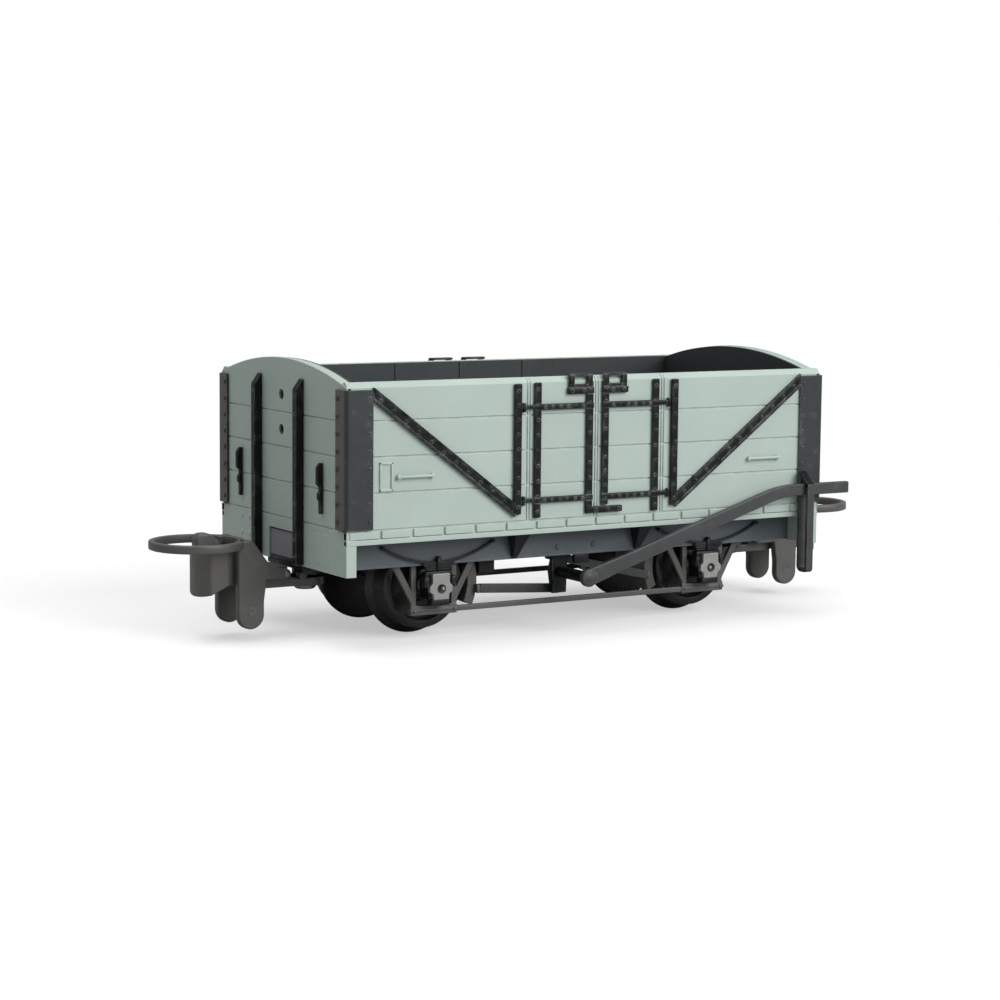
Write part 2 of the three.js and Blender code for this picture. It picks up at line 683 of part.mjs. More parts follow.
function axle() {
  const shoulder = WHEEL_BACK + WHEEL_WIDTH + 0.3;
  return turnedY([
    [0, -JOURNAL_END],
    [JOURNAL_RADIUS, -JOURNAL_END],
    [JOURNAL_RADIUS, -shoulder - 0.2],
    [AXLE_RADIUS, -shoulder],
    [AXLE_RADIUS, shoulder],
    [JOURNAL_RADIUS, shoulder + 0.2],
    [JOURNAL_RADIUS, JOURNAL_END],
    [0, JOURNAL_END],
  ]);
}

// ---------------------------------------------------------------- couplers, built at the front end
// The buffer pad, the web and shank behind it, and the sloping nose that holds the other wagon's loop.
function couplerBody() {
  const sagitta = PAD_FRONT - PAD_SHOULDER;
  const frontRadius = (PAD_HALF_WIDTH ** 2 + sagitta ** 2) / (2 * sagitta);
  const frontAngle = Math.asin(PAD_HALF_WIDTH / frontRadius);
  const padShape = new THREE.Shape();
  padShape.moveTo(PAD_BACK, -PAD_HALF_WIDTH);
  padShape.absarc(PAD_FRONT - frontRadius, 0, frontRadius, -frontAngle, frontAngle, false);
  padShape.lineTo(PAD_BACK, PAD_HALF_WIDTH);
  const padSide = outline([
    [PAD_BACK, PAD_BACK_BOTTOM],
    [PAD_FRONT, PAD_BOTTOM],
    [PAD_FRONT, PAD_TOP],
    [PAD_BACK, PAD_TOP],
  ]);
  const padBlock = solid(prismZ(padShape, PAD_BOTTOM, PAD_TOP, 12));
  const pad = padBlock.intersect(solid(prismY(padSide, -PAD_HALF_WIDTH - 1, PAD_HALF_WIDTH + 1)));
  const lugRadius = 0.5;
  const web = outline([
    [PAD_BACK + 0.1, PAD_BACK_BOTTOM],
    [PAD_BACK + 0.1, PAD_TOP],
    [24.5, PAD_TOP],
    [23.3, LOOP_PIN_HEIGHT + lugRadius],
    [LOOP_PIN_X - lugRadius, LOOP_PIN_HEIGHT + lugRadius],
    [LOOP_PIN_X - lugRadius, SHANK_TOP],
    [COUPLER_PIVOT_X, SHANK_TOP],
    [COUPLER_PIVOT_X, SHANK_BOTTOM],
    [23.4, SHANK_BOTTOM],
  ]);
  const nose = outline([
    [PAD_FRONT - 1.95, PAD_TOP - 0.2],
    [PAD_FRONT - 0.05, PAD_TOP - 0.2],
    [PAD_FRONT, 7.2],
    [PAD_FRONT - 0.3, 7.58],
    [PAD_FRONT - 1.05, 7.6],
    [PAD_FRONT - 1.95, 6.95],
  ]);
  const eye = [[0, SHANK_BOTTOM], [EYE_RADIUS, SHANK_BOTTOM], [EYE_RADIUS, SHANK_TOP], [0, SHANK_TOP]];
  const whole = pad
    .add(solid(prismY(web, -WEB_HALF_WIDTH, WEB_HALF_WIDTH)))
    .add(solid(prismY(nose, -NOSE_HALF_WIDTH, NOSE_HALF_WIDTH)))
    .add(solid(turnedZ(eye, COUPLER_PIVOT_X)));
  return geometryOf(cutFrom(whole, [
    turnedZ([[0, SHANK_BOTTOM - 1], [0.57, SHANK_BOTTOM - 1], [0.57, 5], [0, 5]], COUPLER_PIVOT_X),
    rodY(LOOP_PIN_RADIUS + 0.03, LOOP_PIN_X, LOOP_PIN_HEIGHT, -2, 2),
  ]));
}

// One side plate of the loop: its tail turns on the pin and its leg is the drop weight.
function loopPlate(y0, y1) {
  const shape = new THREE.Shape();
  const legBottom = 0.36;
  shape.moveTo(LEG_X + LEG_RADIUS, LOOP_TOP);
  shape.lineTo(LEG_X - 0.1, LOOP_TOP);
  shape.lineTo(24, 5.85);
  shape.lineTo(23.3, LOOP_PIN_HEIGHT + TAIL_RADIUS + 0.18);
  shape.absarc(LOOP_PIN_X, LOOP_PIN_HEIGHT, TAIL_RADIUS, Math.PI * 0.45, Math.PI * 1.5, false);
  shape.lineTo(23.75, LOOP_PIN_HEIGHT - TAIL_RADIUS + 0.08);
  shape.lineTo(LEG_X - LEG_RADIUS, 2.4);
  shape.absarc(LEG_X, legBottom + LEG_RADIUS, LEG_RADIUS, Math.PI, Math.PI * 2, false);
  return prismY(shape, y0, y1, 7);
}

function couplerLoop() {
  const ring = new THREE.Shape().absarc(LOOP_X, 0, LOOP_RADIUS, 0, Math.PI * 2, false);
  ring.holes.push(new THREE.Path().absarc(LOOP_X, 0, LOOP_RADIUS - LOOP_BAND, 0, Math.PI * 2, true));
  const whole = join([
    prismZ(ring, LOOP_BOTTOM, LOOP_TOP, 14),
    loopPlate(LEG_INSIDE, LEG_OUTSIDE),
    loopPlate(-LEG_OUTSIDE, -LEG_INSIDE),
  ]);
  return geometryOf(cutFrom(whole, [
    rodY(LOOP_PIN_RADIUS + 0.06, LOOP_PIN_X, LOOP_PIN_HEIGHT, -3, 3),
  ]));
}

function couplerPin() {
  return rodY(LOOP_PIN_RADIUS, LOOP_PIN_X, LOOP_PIN_HEIGHT, -LEG_OUTSIDE - 0.08, LEG_OUTSIDE + 0.08);
}

function couplerScrew() {
  const headBottom = SHANK_BOTTOM - SCREW_HEAD_HEIGHT;
  const headTop = SHANK_BOTTOM - 0.06;
  const shoulder = 5.25;
  return turnedZ([
    [0, headBottom],
    [0.8, headBottom],
    [0.85, headTop],
    [0.5, headTop],
    [0.5, shoulder],
    [0.43, shoulder],
    [0.43, 6.7],
    [0, 6.7],
  ], COUPLER_PIVOT_X);
}

// ---------------------------------------------------------------- brake gear on the right side
// The hand lever: a round boss, a sloping arm, a bend and a level grip.
function brakeLever() {
  const slope = THREE.MathUtils.degToRad(LEVER_SLOPE_DEGREES);
  const bendDrop = LEVER_BEND_RADIUS * (1 - Math.cos(slope));
  const armRise = LEVER_GRIP_HEIGHT - bendDrop - SHAFT_HEIGHT;
  const bendStart = SHAFT_X + armRise / Math.tan(slope);
  const bendEnd = bendStart + LEVER_BEND_RADIUS * Math.sin(slope);
  const knee = 3.2;
  const line = [
    [SHAFT_X, SHAFT_HEIGHT, 0.66],
    [SHAFT_X + knee, SHAFT_HEIGHT + knee * Math.tan(slope), 0.55],
  ];
  const bendSteps = 5;
  for (let i = 0; i <= bendSteps; i += 1) {
    const angle = slope * (1 - i / bendSteps);
    const x = bendEnd - LEVER_BEND_RADIUS * Math.sin(angle);
    const z = LEVER_GRIP_HEIGHT - LEVER_BEND_RADIUS * (1 - Math.cos(angle));
    line.push([x, z, 0.5 - (0.04 * i) / bendSteps]);
  }
  line.push([LEVER_END, LEVER_GRIP_HEIGHT, 0.46]);
  const arm = prismY(ribbon(line), LEVER_OUTSIDE, LEVER_INSIDE);
  const boss = rodY(LEVER_BOSS_RADIUS, SHAFT_X, SHAFT_HEIGHT, LEVER_OUTSIDE, LEVER_INSIDE, 20);
  return geometryOf(join([arm, boss]));
}

// The cross shaft and the double crank that works both push rods.
function brakeShaft() {
  const crank = ribbon([
    [SHAFT_X, SHAFT_HEIGHT - CRANK_DROP - 0.3, 0.34],
    [SHAFT_X, SHAFT_HEIGHT, 0.62],
    [SHAFT_X, SHAFT_HEIGHT + CRANK_RISE + 0.1, 0.34],
  ]);
  return geometryOf(join([
    rodY(SHAFT_RADIUS, SHAFT_X, SHAFT_HEIGHT, LEVER_INSIDE + GLUE_GAP, CRANK_INSIDE),
    prismY(crank, CRANK_OUTSIDE, CRANK_INSIDE),
  ]));
}

// The plate behind the solebar that the shaft turns in.
function brakeHanger() {
  const y0 = -SOLEBAR_INSIDE + GLUE_GAP;
  const shape = outline([
    [SHAFT_X - 0.62, 2.2],
    [SHAFT_X + 0.62, 2.2],
    [SHAFT_X + 0.8, 6.8],
    [SHAFT_X - 0.8, 6.8],
  ]);
  const plate = solid(prismY(shape, y0, y0 + 0.44));
  return geometryOf(cutFrom(plate, [rodY(SHAFT_RADIUS + BEARING_CLEARANCE, SHAFT_X, SHAFT_HEIGHT, -9, -6)]));
}

// A push rod from the crank to its brake block; end is 1 for the front wheel and -1 for the rear.
function pushRod(end) {
  const crankHeight = end > 0 ? SHAFT_HEIGHT + CRANK_RISE : SHAFT_HEIGHT - CRANK_DROP;
  const blockBack = end * (AXLE_X - AXLE_HEIGHT - SHOE_GAP - 0.85);
  const shape = ribbon([
    [SHAFT_X - end * 0.35, crankHeight, ROD_HALF],
    [blockBack - end * GLUE_GAP, ROD_HEIGHT, ROD_HALF],
  ]);
  return prismY(shape, ROD_OUTSIDE, ROD_INSIDE);
}

// A curved shoe around the tread of a right-hand wheel, with a pad on its back for the push rod.
function brakeBlock() {
  const inner = AXLE_HEIGHT + SHOE_GAP;
  const outer = inner + SHOE_THICKNESS;
  const low = -0.42;
  const high = 0.36;
  const padHeight = ROD_HEIGHT - AXLE_HEIGHT;
  const shape = new THREE.Shape();
  shape.absarc(0, 0, outer, low, high, false);
  shape.absarc(0, 0, inner, high, low, true);
  return geometryOf(join([
    prismY(shape, -6.1, -4.55, 6),
    box(outer - 0.25, outer + 0.02, ROD_OUTSIDE, -5.8, padHeight - ROD_HALF, padHeight + ROD_HALF),
  ]));
}

// The bent strap that guides the lever: fixed to the body side and open in the middle.
function leverGuide() {
  const inside = -HALF_WIDTH - CORNER_PLATE_THICKNESS - 0.04;
  const outside = GUIDE_OUTSIDE;
  const bottom = GUIDE_BOTTOM;
  const round = 0.5;
  const chamfer = 0.15;
  const shape = new THREE.Shape();
  shape.moveTo(inside, 11.3);
  shape.lineTo(outside, 10.2);
  shape.lineTo(outside, bottom + chamfer);
  shape.lineTo(outside + chamfer, bottom);
  shape.lineTo(inside - round, bottom);
  shape.absarc(inside - round, bottom + round, round, -Math.PI / 2, 0, false);
  const slot = new THREE.Path();
  slot.moveTo(inside - GUIDE_STRAP, 10.5);
  slot.lineTo(inside - GUIDE_STRAP, bottom + 0.6);
  slot.lineTo(inside - GUIDE_STRAP - 0.2, bottom + GUIDE_STRAP);
  slot.lineTo(outside + GUIDE_STRAP, bottom + GUIDE_STRAP);
  slot.lineTo(outside + GUIDE_STRAP, 10.1);
  shape.holes.push(slot);
  return prismX(shape, GUIDE_X - GUIDE_WIDTH / 2, GUIDE_X + GUIDE_WIDTH / 2, 5);
}

// ---------------------------------------------------------------- materials
function finish(color, roughness, metalness) {
  return new THREE.MeshStandardMaterial({ color, roughness, metalness });
}

const bodyPaint = finish(0xa9bbb2, 0.6, 0);
const ironPaint = finish(0x2e3234, 0.55, 0);
const tubPlastic = finish(0x2a2e30, 0.7, 0);
const framePlastic = finish(0x474c50, 0.6, 0);
const gearPlastic = finish(0x4a4a4a, 0.6, 0);
const boxMetal = finish(0x8c8c8c, 0.45, 0.4);
const wheelMetal = finish(0x3c3b3a, 0.4, 0.6);
const steel = finish(0x7d7f82, 0.35, 0.9);

// ---------------------------------------------------------------- assembly
const wagon = new THREE.Group();
wagon.position.z = -FLOOR_TOP;
const ends = { front: 1, rear: -1 };
const sides = { left: 1, right: -1 };

function place(name, geometry, material, parent = wagon) {
  const mesh = new THREE.Mesh(geometry, material);
  mesh.name = name;
  parent.add(mesh);
  return mesh;
}

// Places one piece at all four corners, mirrored from the front left one.
function placeAtCorners(name, geometry, material) {
  for (const [endName, end] of Object.entries(ends)) {
    for (const [sideName, side] of Object.entries(sides)) {
      place(`${name}_${endName}_${sideName}`, geometry, material).scale.set(end, side, 1);
    }
  }
}

place('body_shell', bodyShell(), bodyPaint);
place('inner_tub', innerTub(), tubPlastic);
placeAtCorners('corner_plate', cornerPlate(), ironPaint);
placeAtCorners('end_stanchion', endStanchion(), ironPaint);
placeAtCorners('end_handle', endHandle(), ironPaint);
placeAtCorners('side_brace', sideBrace(), ironPaint);
for (const [sideName, side] of Object.entries(sides)) {
  place(`door_ironwork_front_${sideName}`, doorIronwork(false), ironPaint).scale.set(1, side, 1);
  place(`door_ironwork_rear_${sideName}`, doorIronwork(true), ironPaint).scale.set(-1, side, 1);
  place(`tie_bar_${sideName}`, tieBar(), gearPlastic).scale.set(1, side, 1);
}

place('underframe', underframe(), framePlastic);
place('ballast_plate', ballastPlate(), steel);

for (const [endName, end] of Object.entries(ends)) {
  const axleLine = new THREE.Group();
  axleLine.position.set(end * AXLE_X, 0, 0);
  wagon.add(axleLine);
  const centre = new THREE.Group();
  centre.position.z = AXLE_HEIGHT;
  axleLine.add(centre);
  place(`axle_${endName}`, axle(), steel, centre);
  for (const [sideName, side] of Object.entries(sides)) {
    place(`wheel_${endName}_${sideName}`, wheel(), wheelMetal, centre).scale.y = side;
    place(`axle_guard_${endName}_${sideName}`, axleGuard(), gearPlastic, axleLine).scale.y = side;
    place(`axlebox_${endName}_${sideName}`, axlebox(), boxMetal, axleLine).scale.y = side;
    place(`leaf_spring_${endName}_${sideName}`, leafSpring(), framePlastic, axleLine).scale.y = side;
  }
  place(`brake_block_${endName}`, brakeBlock(), gearPlastic, centre).scale.x = -end;
  place(`push_rod_${endName}`, pushRod(end), gearPlastic);
  place(`coupler_body_${endName}`, couplerBody(), gearPlastic).scale.x = end;
  place(`coupler_loop_${endName}`, couplerLoop(), gearPlastic).scale.x = end;
  place(`coupler_pin_${endName}`, couplerPin(), steel).scale.x = end;
  place(`coupler_screw_${endName}`, couplerScrew(), steel).scale.x = end;
}

place('brake_lever', brakeLever(), gearPlastic);
place('brake_shaft', brakeShaft(), ironPaint);
place('brake_hanger', brakeHanger(), ironPaint);
place('lever_guide', leverGuide(), gearPlastic);

export default wagon;
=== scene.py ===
"""A four-wheel open goods wagon, a small painted model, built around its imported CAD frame.

Shapes are written in millimetres, with heights above rail top, and become metres in the frame's own axes
when a piece is made. Places come from the boxes of the CAD nodes. Pieces that repeat at the corners are
built once, for the front left corner, and mirrored.
"""
import math
from collections import namedtuple

import bmesh
import bpy
from mathutils import Matrix, Vector


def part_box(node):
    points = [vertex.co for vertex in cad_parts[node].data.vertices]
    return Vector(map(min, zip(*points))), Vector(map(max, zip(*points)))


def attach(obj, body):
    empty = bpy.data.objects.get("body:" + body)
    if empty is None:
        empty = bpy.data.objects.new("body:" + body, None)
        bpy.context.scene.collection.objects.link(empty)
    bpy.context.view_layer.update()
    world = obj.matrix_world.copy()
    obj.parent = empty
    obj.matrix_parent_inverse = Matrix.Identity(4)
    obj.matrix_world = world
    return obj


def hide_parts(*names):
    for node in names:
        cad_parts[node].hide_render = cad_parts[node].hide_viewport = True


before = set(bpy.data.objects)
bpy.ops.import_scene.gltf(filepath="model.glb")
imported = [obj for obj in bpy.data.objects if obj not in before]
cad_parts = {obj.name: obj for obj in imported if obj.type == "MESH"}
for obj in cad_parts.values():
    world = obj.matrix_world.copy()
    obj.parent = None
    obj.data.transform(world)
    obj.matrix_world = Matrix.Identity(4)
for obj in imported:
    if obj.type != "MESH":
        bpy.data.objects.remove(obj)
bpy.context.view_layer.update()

MM = 0.001
FLANGE_DEPTH = 0.55
RAIL_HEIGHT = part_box("wheel_front_left")[0].z / MM + FLANGE_DEPTH
TO_FRAME = Matrix.Scale(MM, 4) @ Matrix.Translation((0, 0, RAIL_HEIGHT))
SHARP_ANGLE = math.radians(32)
SHADING_ANGLE = math.radians(50)
ENDS = {"front": 1, "rear": -1}
SIDES = {"left": 1, "right": -1}

# ------------------------------------------------------------------ driving dimensions, millimetres
PLANK_JOINTS = [8.48, 11.2, 13.84, 16.48]
SIDE_FACE_TOP = 18.93
RIM_TOP = 19.3
RIM_CHAMFER = 0.3
CURB_BOTTOM = 7.42
CURB_TOP = 7.86
SIDE_WALL = 0.78
END_WALL = 0.85
PLANK_SKIN = 0.4
PLANK_GAP = 0.1
HALF_GAP = PLANK_GAP / 2
PLANK_ROUND = 0.05
FLOOR_BOARD_PITCH = 2.67
FLOOR_BOARD_GAP = 0.22
FLOOR_BOARD_PROUD = 0.06
DOOR_EDGE = 6.1
JOINT_STRIP = 0.12
SIDE_RAIL_PROUD = 0.36
SLOT_HALF_WIDTH = 2.13
SLOT_TOP = 7.5
DRAW_PLATE_BOTTOM = 5.4
END_HOLE_RADIUS = 0.42
END_HOLE_HEIGHTS = [15.13, 17.79]

IRON_ROUND = 0.05
STRAP_ROUND = 0.1
STRAP_HALF = 0.31
DOOR_STRAP_X = 5.37
CENTRE_STRAP_X = 0.72
HINGE_BARS = [(16.84, 17.3), (9.78, 10.24)]
RIVET_RADIUS = 0.12
RIVET_HEIGHT = 0.07
BRACE_HALF = 0.42

FRAME_TOP = 7.55
FRAME_BOTTOM = 5.25
FRAME_REACH = 20.6
FRAME_BEAM_HALF = 7.7
MIDDLE_BEAM = (6, 7.4)
SOLEBAR_INSIDE = 7.6
SOLEBAR_OUTSIDE = 8.05
SOLEBAR_BOTTOM = 5.2
KNEE_X = 5.65

AXLE_HEIGHT = 3.45
BRAKE_SHAFT_HEIGHT = AXLE_HEIGHT + 0.44
BRAKE_SHAFT_RADIUS = 0.45

FLOOR_HALF_SIZE = 6.0
FLOOR_GLOW = 0.47


class Extent(namedtuple("Extent", "x0 x1 y0 y1 z0 z1")):
    """A box, and the coordinates of its middle."""

    x = property(lambda self: (self.x0 + self.x1) / 2)
    y = property(lambda self: (self.y0 + self.y1) / 2)
    z = property(lambda self: (self.z0 + self.z1) / 2)


def extent(node):
    """The box of a CAD node in millimetres, with heights above rail top."""
    low, high = (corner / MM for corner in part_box(node))
    return Extent(low.x, high.x, low.y, high.y, low.z - RAIL_HEIGHT, high.z - RAIL_HEIGHT)


BODY = extent("body_shell")
HALF_LENGTH = BODY.x1
HALF_WIDTH = BODY.y1 - SIDE_RAIL_PROUD
SIDE_SKIN_BACK = HALF_WIDTH - PLANK_SKIN
END_SKIN_BACK = HALF_LENGTH - PLANK_SKIN
END_INSIDE = HALF_LENGTH - END_WALL


# ------------------------------------------------------------------ shapes
def to_axes(axis, a, b, along):
    """Two outline coordinates and a distance along the axis, as x, y, z."""
    if axis == "x":
        return (along, a, b)
    if axis == "y":
        return (a, along, b)
    return (a, b, along)


def round_edges(shape, radius):
    sharp = [e for e in shape.edges if e.is_manifold and e.calc_face_angle() > SHARP_ANGLE]
    bmesh.ops.bevel(
        shape, geom=sharp, offset=radius, segments=2, profile=0.5, affect="EDGES", clamp_overlap=True
    )
    return shape


def slab(outline, axis, low, high, radius=IRON_ROUND):
    """An outline pushed along an axis, with its edges rounded."""
    shape = bmesh.new()
    near = [shape.verts.new(to_axes(axis, a, b, low)) for a, b in outline]
    far = [shape.verts.new(to_axes(axis, a, b, high)) for a, b in outline]
    shape.faces.new(near)
    shape.faces.new(far[::-1])
    for k in range(len(outline)):
        shape.faces.new([near[k - 1], near[k], far[k], far[k - 1]])
    bmesh.ops.recalc_face_normals(shape, faces=shape.faces)
    if radius:
        round_edges(shape, radius)
    return shape


def block(x0, x1, y0, y1, z0, z1, radius=IRON_ROUND):
    return slab([(x0, y0), (x1, y0), (x1, y1), (x0, y1)], "z", z0, z1, radius)


def lathe(profile, axis, centre, steps=32, radius=0):
    """Points of radius and distance along the axis, turned about it. An open profile ends on the axis."""
    shape = bmesh.new()
    rings = []
    for reach, along in profile:
        count = steps if reach else 1
        angles = [2 * math.pi * k / count for k in range(count)]
        spots = [Vector(to_axes(axis, reach * math.cos(t), reach * math.sin(t), along)) for t in angles]
        rings.append([shape.verts.new(spot + Vector(centre)) for spot in spots])
    pairs = list(zip(rings, rings[1:]))
    if profile[0][0] and profile[-1][0]:
        pairs.append((rings[-1], rings[0]))
    for a, b in pairs:
        for k in range(steps):
            corners = [a[k % len(a)], a[(k + 1) % len(a)], b[(k + 1) % len(b)], b[k % len(b)]]
            shape.faces.new(list(dict.fromkeys(corners)))
    bmesh.ops.recalc_face_normals(shape, faces=shape.faces)
    if radius:
        round_edges(shape, radius)
    return shape


def rod(radius, axis, centre, low, high, rounding=0.04, steps=24):
    return lathe([(0, low), (radius, low), (radius, high), (0, high)], axis, centre, steps, rounding)


def rivet(x, y, z, axis, way=1, radius=RIVET_RADIUS, height=RIVET_HEIGHT):
    """A domed head standing on a face whose outward direction is the axis, or against it."""
    sunk = -0.05
    dome = [(0, sunk), (1, sunk), (1, 0.2), (0.82, 0.7), (0.45, 0.95), (0, 1)]
    profile = [(radius * r, way * (h if h < 0 else h * height)) for r, h in dome]
    return lathe(profile, axis, (x, y, z), steps=12)


def arc(centre, radius, start, stop, steps=8):
    angles = [math.radians(start + (stop - start) * k / steps) for k in range(steps + 1)]
    return [(centre[0] + radius * math.cos(t), centre[1] + radius * math.sin(t)) for t in angles]


def ribbon(line):
    """A band of varying width along a centre line; each entry is x, z, half width."""
    lower, upper = [], []
    for k, (x, z, half) in enumerate(line):
        before, after = line[max(k - 1, 0)], line[min(k + 1, len(line) - 1)]
        along = Vector((after[0] - before[0], after[1] - before[1])).normalized()
        lower.append((x + along.y * half, z - along.x * half))
        upper.append((x - along.y * half, z + along.x * half))
    return lower + upper[::-1]


def spaced(start, stop, count):
    return [start + (stop - start) * k / (count - 1) for k in range(count)]


# ------------------------------------------------------------------ pieces
def mesh_of(name, parts):
    """One mesh in metres, in the frame's axes, from several shapes."""
    whole = bmesh.new()
    for part in parts:
        scratch = bpy.data.meshes.new("scratch")
        part.to_mesh(scratch)
        part.free()
        whole.from_mesh(scratch)
        bpy.data.meshes.remove(scratch)
    bmesh.ops.transform(whole, matrix=TO_FRAME, verts=whole.verts)
    mesh = bpy.data.meshes.new(name)
    whole.to_mesh(mesh)
    whole.free()
    mesh.shade_smooth()
    mesh.set_sharp_from_angle(angle=SHADING_ANGLE)
    return mesh


def mirrored(mesh, x, y):
    copy = mesh.copy()
    copy.transform(Matrix.Diagonal((x, y, 1, 1)))
    if x * y < 0:
        copy.flip_normals()
    return copy


def piece(name, mesh, finish, body, nodes=()):
    """Adds a piece that rides on a body, in place of the CAD nodes it stands for."""
    material, slot = finish
    mesh.materials.append(material)
    obj = bpy.data.objects.new(name, mesh)
    bpy.context.scene.collection.objects.link(obj)
    obj.modifiers.new("Even shading", "WEIGHTED_NORMAL").keep_sharp = True
    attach(obj, body)
    if nodes:
        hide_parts(*nodes)
    return obj


def at_corners(node, parts, finish):
    """The same piece at all four corners, in place of the node of that name there."""
    mesh = mesh_of(node, parts)
    for end, x in ENDS.items():
        for side, y in SIDES.items():
            corner = f"{end}_{side}"
            piece(f"fine_{node}_{corner}", mirrored(mesh, x, y), finish, "wagon", [f"{node}_{corner}"])


def at_ends(node, parts, finish, body):
    mesh = mesh_of(node, parts)
    for end, x in ENDS.items():
        piece(f"fine_{node}_{end}", mirrored(mesh, x, 1), finish, f"{body}_{end}", [f"{node}_{end}"])


# ------------------------------------------------------------------ materials
def linear(code):
    """A web colour as linear red, green, blue and alpha."""
    values = [int(code[k:k + 2], 16) / 255 for k in (1, 3, 5)]
    return [v / 12.92 if v <= 0.04045 else ((v + 0.055) / 1.055) ** 2.4 for v in values] + [1]


def scaled(colour, share):
    return [min(1, channel * share) for channel in colour[:3]] + [1]


class Graph:
    """Short forms for building a material's nodes."""

    def __init__(self, name):
        self.material = bpy.data.materials.new(name)
        self.material.use_nodes = True
        self.tree = self.material.node_tree
        self.shader = self.tree.nodes["Principled BSDF"]

    def node(self, kind, **inputs):
        made = self.tree.nodes.new(kind)
        for key, value in inputs.items():
            self.put(made.inputs[key.replace("_", " ")], value)
        return made

    def put(self, socket, value):
        if isinstance(value, bpy.types.NodeSocket):
            self.tree.links.new(value, socket)
        else:
            socket.default_value = value

    def noise(self, scale, detail=3, roughness=0.55):
        place = self.node("ShaderNodeTexCoord").outputs["Object"]
        made = self.node("ShaderNodeTexNoise", Vector=place, Scale=scale, Detail=detail, Roughness=roughness)
        return made.outputs["Fac"]

    def remap(self, value, low, high, to_low=0, to_high=1):
        limits = {"From_Min": low, "From_Max": high, "To_Min": to_low, "To_Max": to_high}
        return self.node("ShaderNodeMapRange", Value=value, **limits).outputs["Result"]

    def times(self, a, b):
        made = self.node("ShaderNodeMath")
        made.operation = "MULTIPLY"
        self.put(made.inputs[0], a)
        self.put(made.inputs[1], b)
        return made.outputs[0]

    def mix(self, share, a, b):
        made = self.node("ShaderNodeMix")
        made.data_type = "RGBA"
        self.put(made.inputs["Factor"], share)
        self.put(made.inputs[6], a)
        self.put(made.inputs[7], b)
        return made.outputs[2]

    def edges(self, reach):
        """One on edges and corners, where the wear and the painted glints go, and nought on open faces."""
        bevel = self.node("ShaderNodeBevel", Radius=reach)
        bevel.samples = 4
        normal = self.node("ShaderNodeNewGeometry").outputs["Normal"]
        dot = self.node("ShaderNodeVectorMath")
        dot.operation = "DOT_PRODUCT"
        self.put(dot.inputs[0], bevel.outputs["Normal"])
        self.put(dot.inputs[1], normal)
        return self.remap(dot.outputs["Value"], 0.995, 0.86)

    def facing_ends(self):
        """One on faces that look along the wagon, and nought on its sides: the mask of a painted sheen."""
        normal = self.node("ShaderNodeNewGeometry").outputs["Normal"]
        along = self.node("ShaderNodeSeparateXYZ", Vector=normal).outputs["X"]
        return self.remap(self.times(along, along), 0.6, 0.95)


def painted(
    name, slot, code, roughness, wear_and_glint, wear_and_glint_amount, speck_and_glint,
    metallic=0.0, tone=0.05, shine=0.5, end_sheen=None,
):
    """Moulded plastic or metal under paint: uneven tone, light specks and lighter edges, and a fine grain.
    The specks and edges are paint wear, and on the ironwork also painted glints.

    The end sheen is a lighter colour painted on the faces that look along the wagon: a painted reflection.
    """
    colour = linear(code)
    g = Graph(name)
    broad = g.noise(160)
    middle = g.noise(1100, detail=4)
    fine = g.noise(6500, detail=2)
    island = g.node("ShaderNodeNewGeometry").outputs["Random Per Island"]
    base = g.mix(g.remap(broad, 0.3, 0.7), scaled(colour, 1 - tone), scaled(colour, 1 + tone))
    # painted reflection: faces that look along the wagon are drawn in the lighter end sheen colour
    if end_sheen:
        base = g.mix(g.facing_ends(), base, linear(end_sheen))
    base = g.mix(g.times(island, 0.5 * tone), base, scaled(colour, 0.75))
    # light specks: paint wear, and on the ironwork painted glints as well
    base = g.mix(g.times(g.remap(middle, 0.56, 0.7), speck_and_glint), base, linear(wear_and_glint))
    # lighter edges: paint wear, and on the ironwork painted glints as well
    wear_and_glint_mask = g.times(g.edges(0.12 * MM), g.remap(middle, 0.35, 0.6))
    base = g.mix(g.times(wear_and_glint_mask, wear_and_glint_amount), base, linear(wear_and_glint))
    g.put(g.shader.inputs["Base Color"], base)
    g.put(g.shader.inputs["Metallic"], metallic)
    g.put(g.shader.inputs["Specular IOR Level"], shine)
    g.put(g.shader.inputs["Roughness"], g.remap(middle, 0.3, 0.7, roughness - 0.07, roughness + 0.09))
    bump = g.node("ShaderNodeBump", Strength=0.35, Distance=0.012 * MM, Height=g.mix(0.45, middle, fine))
    g.put(g.shader.inputs["Normal"], bump.outputs["Normal"])
    return g.material, slot


PAINT = painted(
    "Grey green paint", "body_paint", "#A7B6AE", 0.5, "#E2EAE5", 0.35, 0.03, tone=0.03
)
# The light specks and edges on the black ironwork are partly painted glints.
IRON = painted(
    "Black ironwork", "iron_paint", "#0F1413", 0.36, "#A9B0AC", 0.5, 0.05, tone=0.15, shine=0.22
)
# The end flanges of the corner plates get a painted sheen, lighter than the side flanges.
PLATE = painted(
    "Corner plate paint", "iron_paint", "#2C3133", 0.42, "#90968F", 0.4, 0.08,
    tone=0.12, shine=0.4, end_sheen="#59544F",
)
TUB = painted(
    "Black inside", "tub_plastic", "#2B3033", 0.6, "#6C7173", 0.3, 0.06, tone=0.1
)
FRAME = painted(
    "Blue grey frame", "frame_plastic", "#535B60", 0.45, "#8C9296", 0.35, 0.05, tone=0.07
)
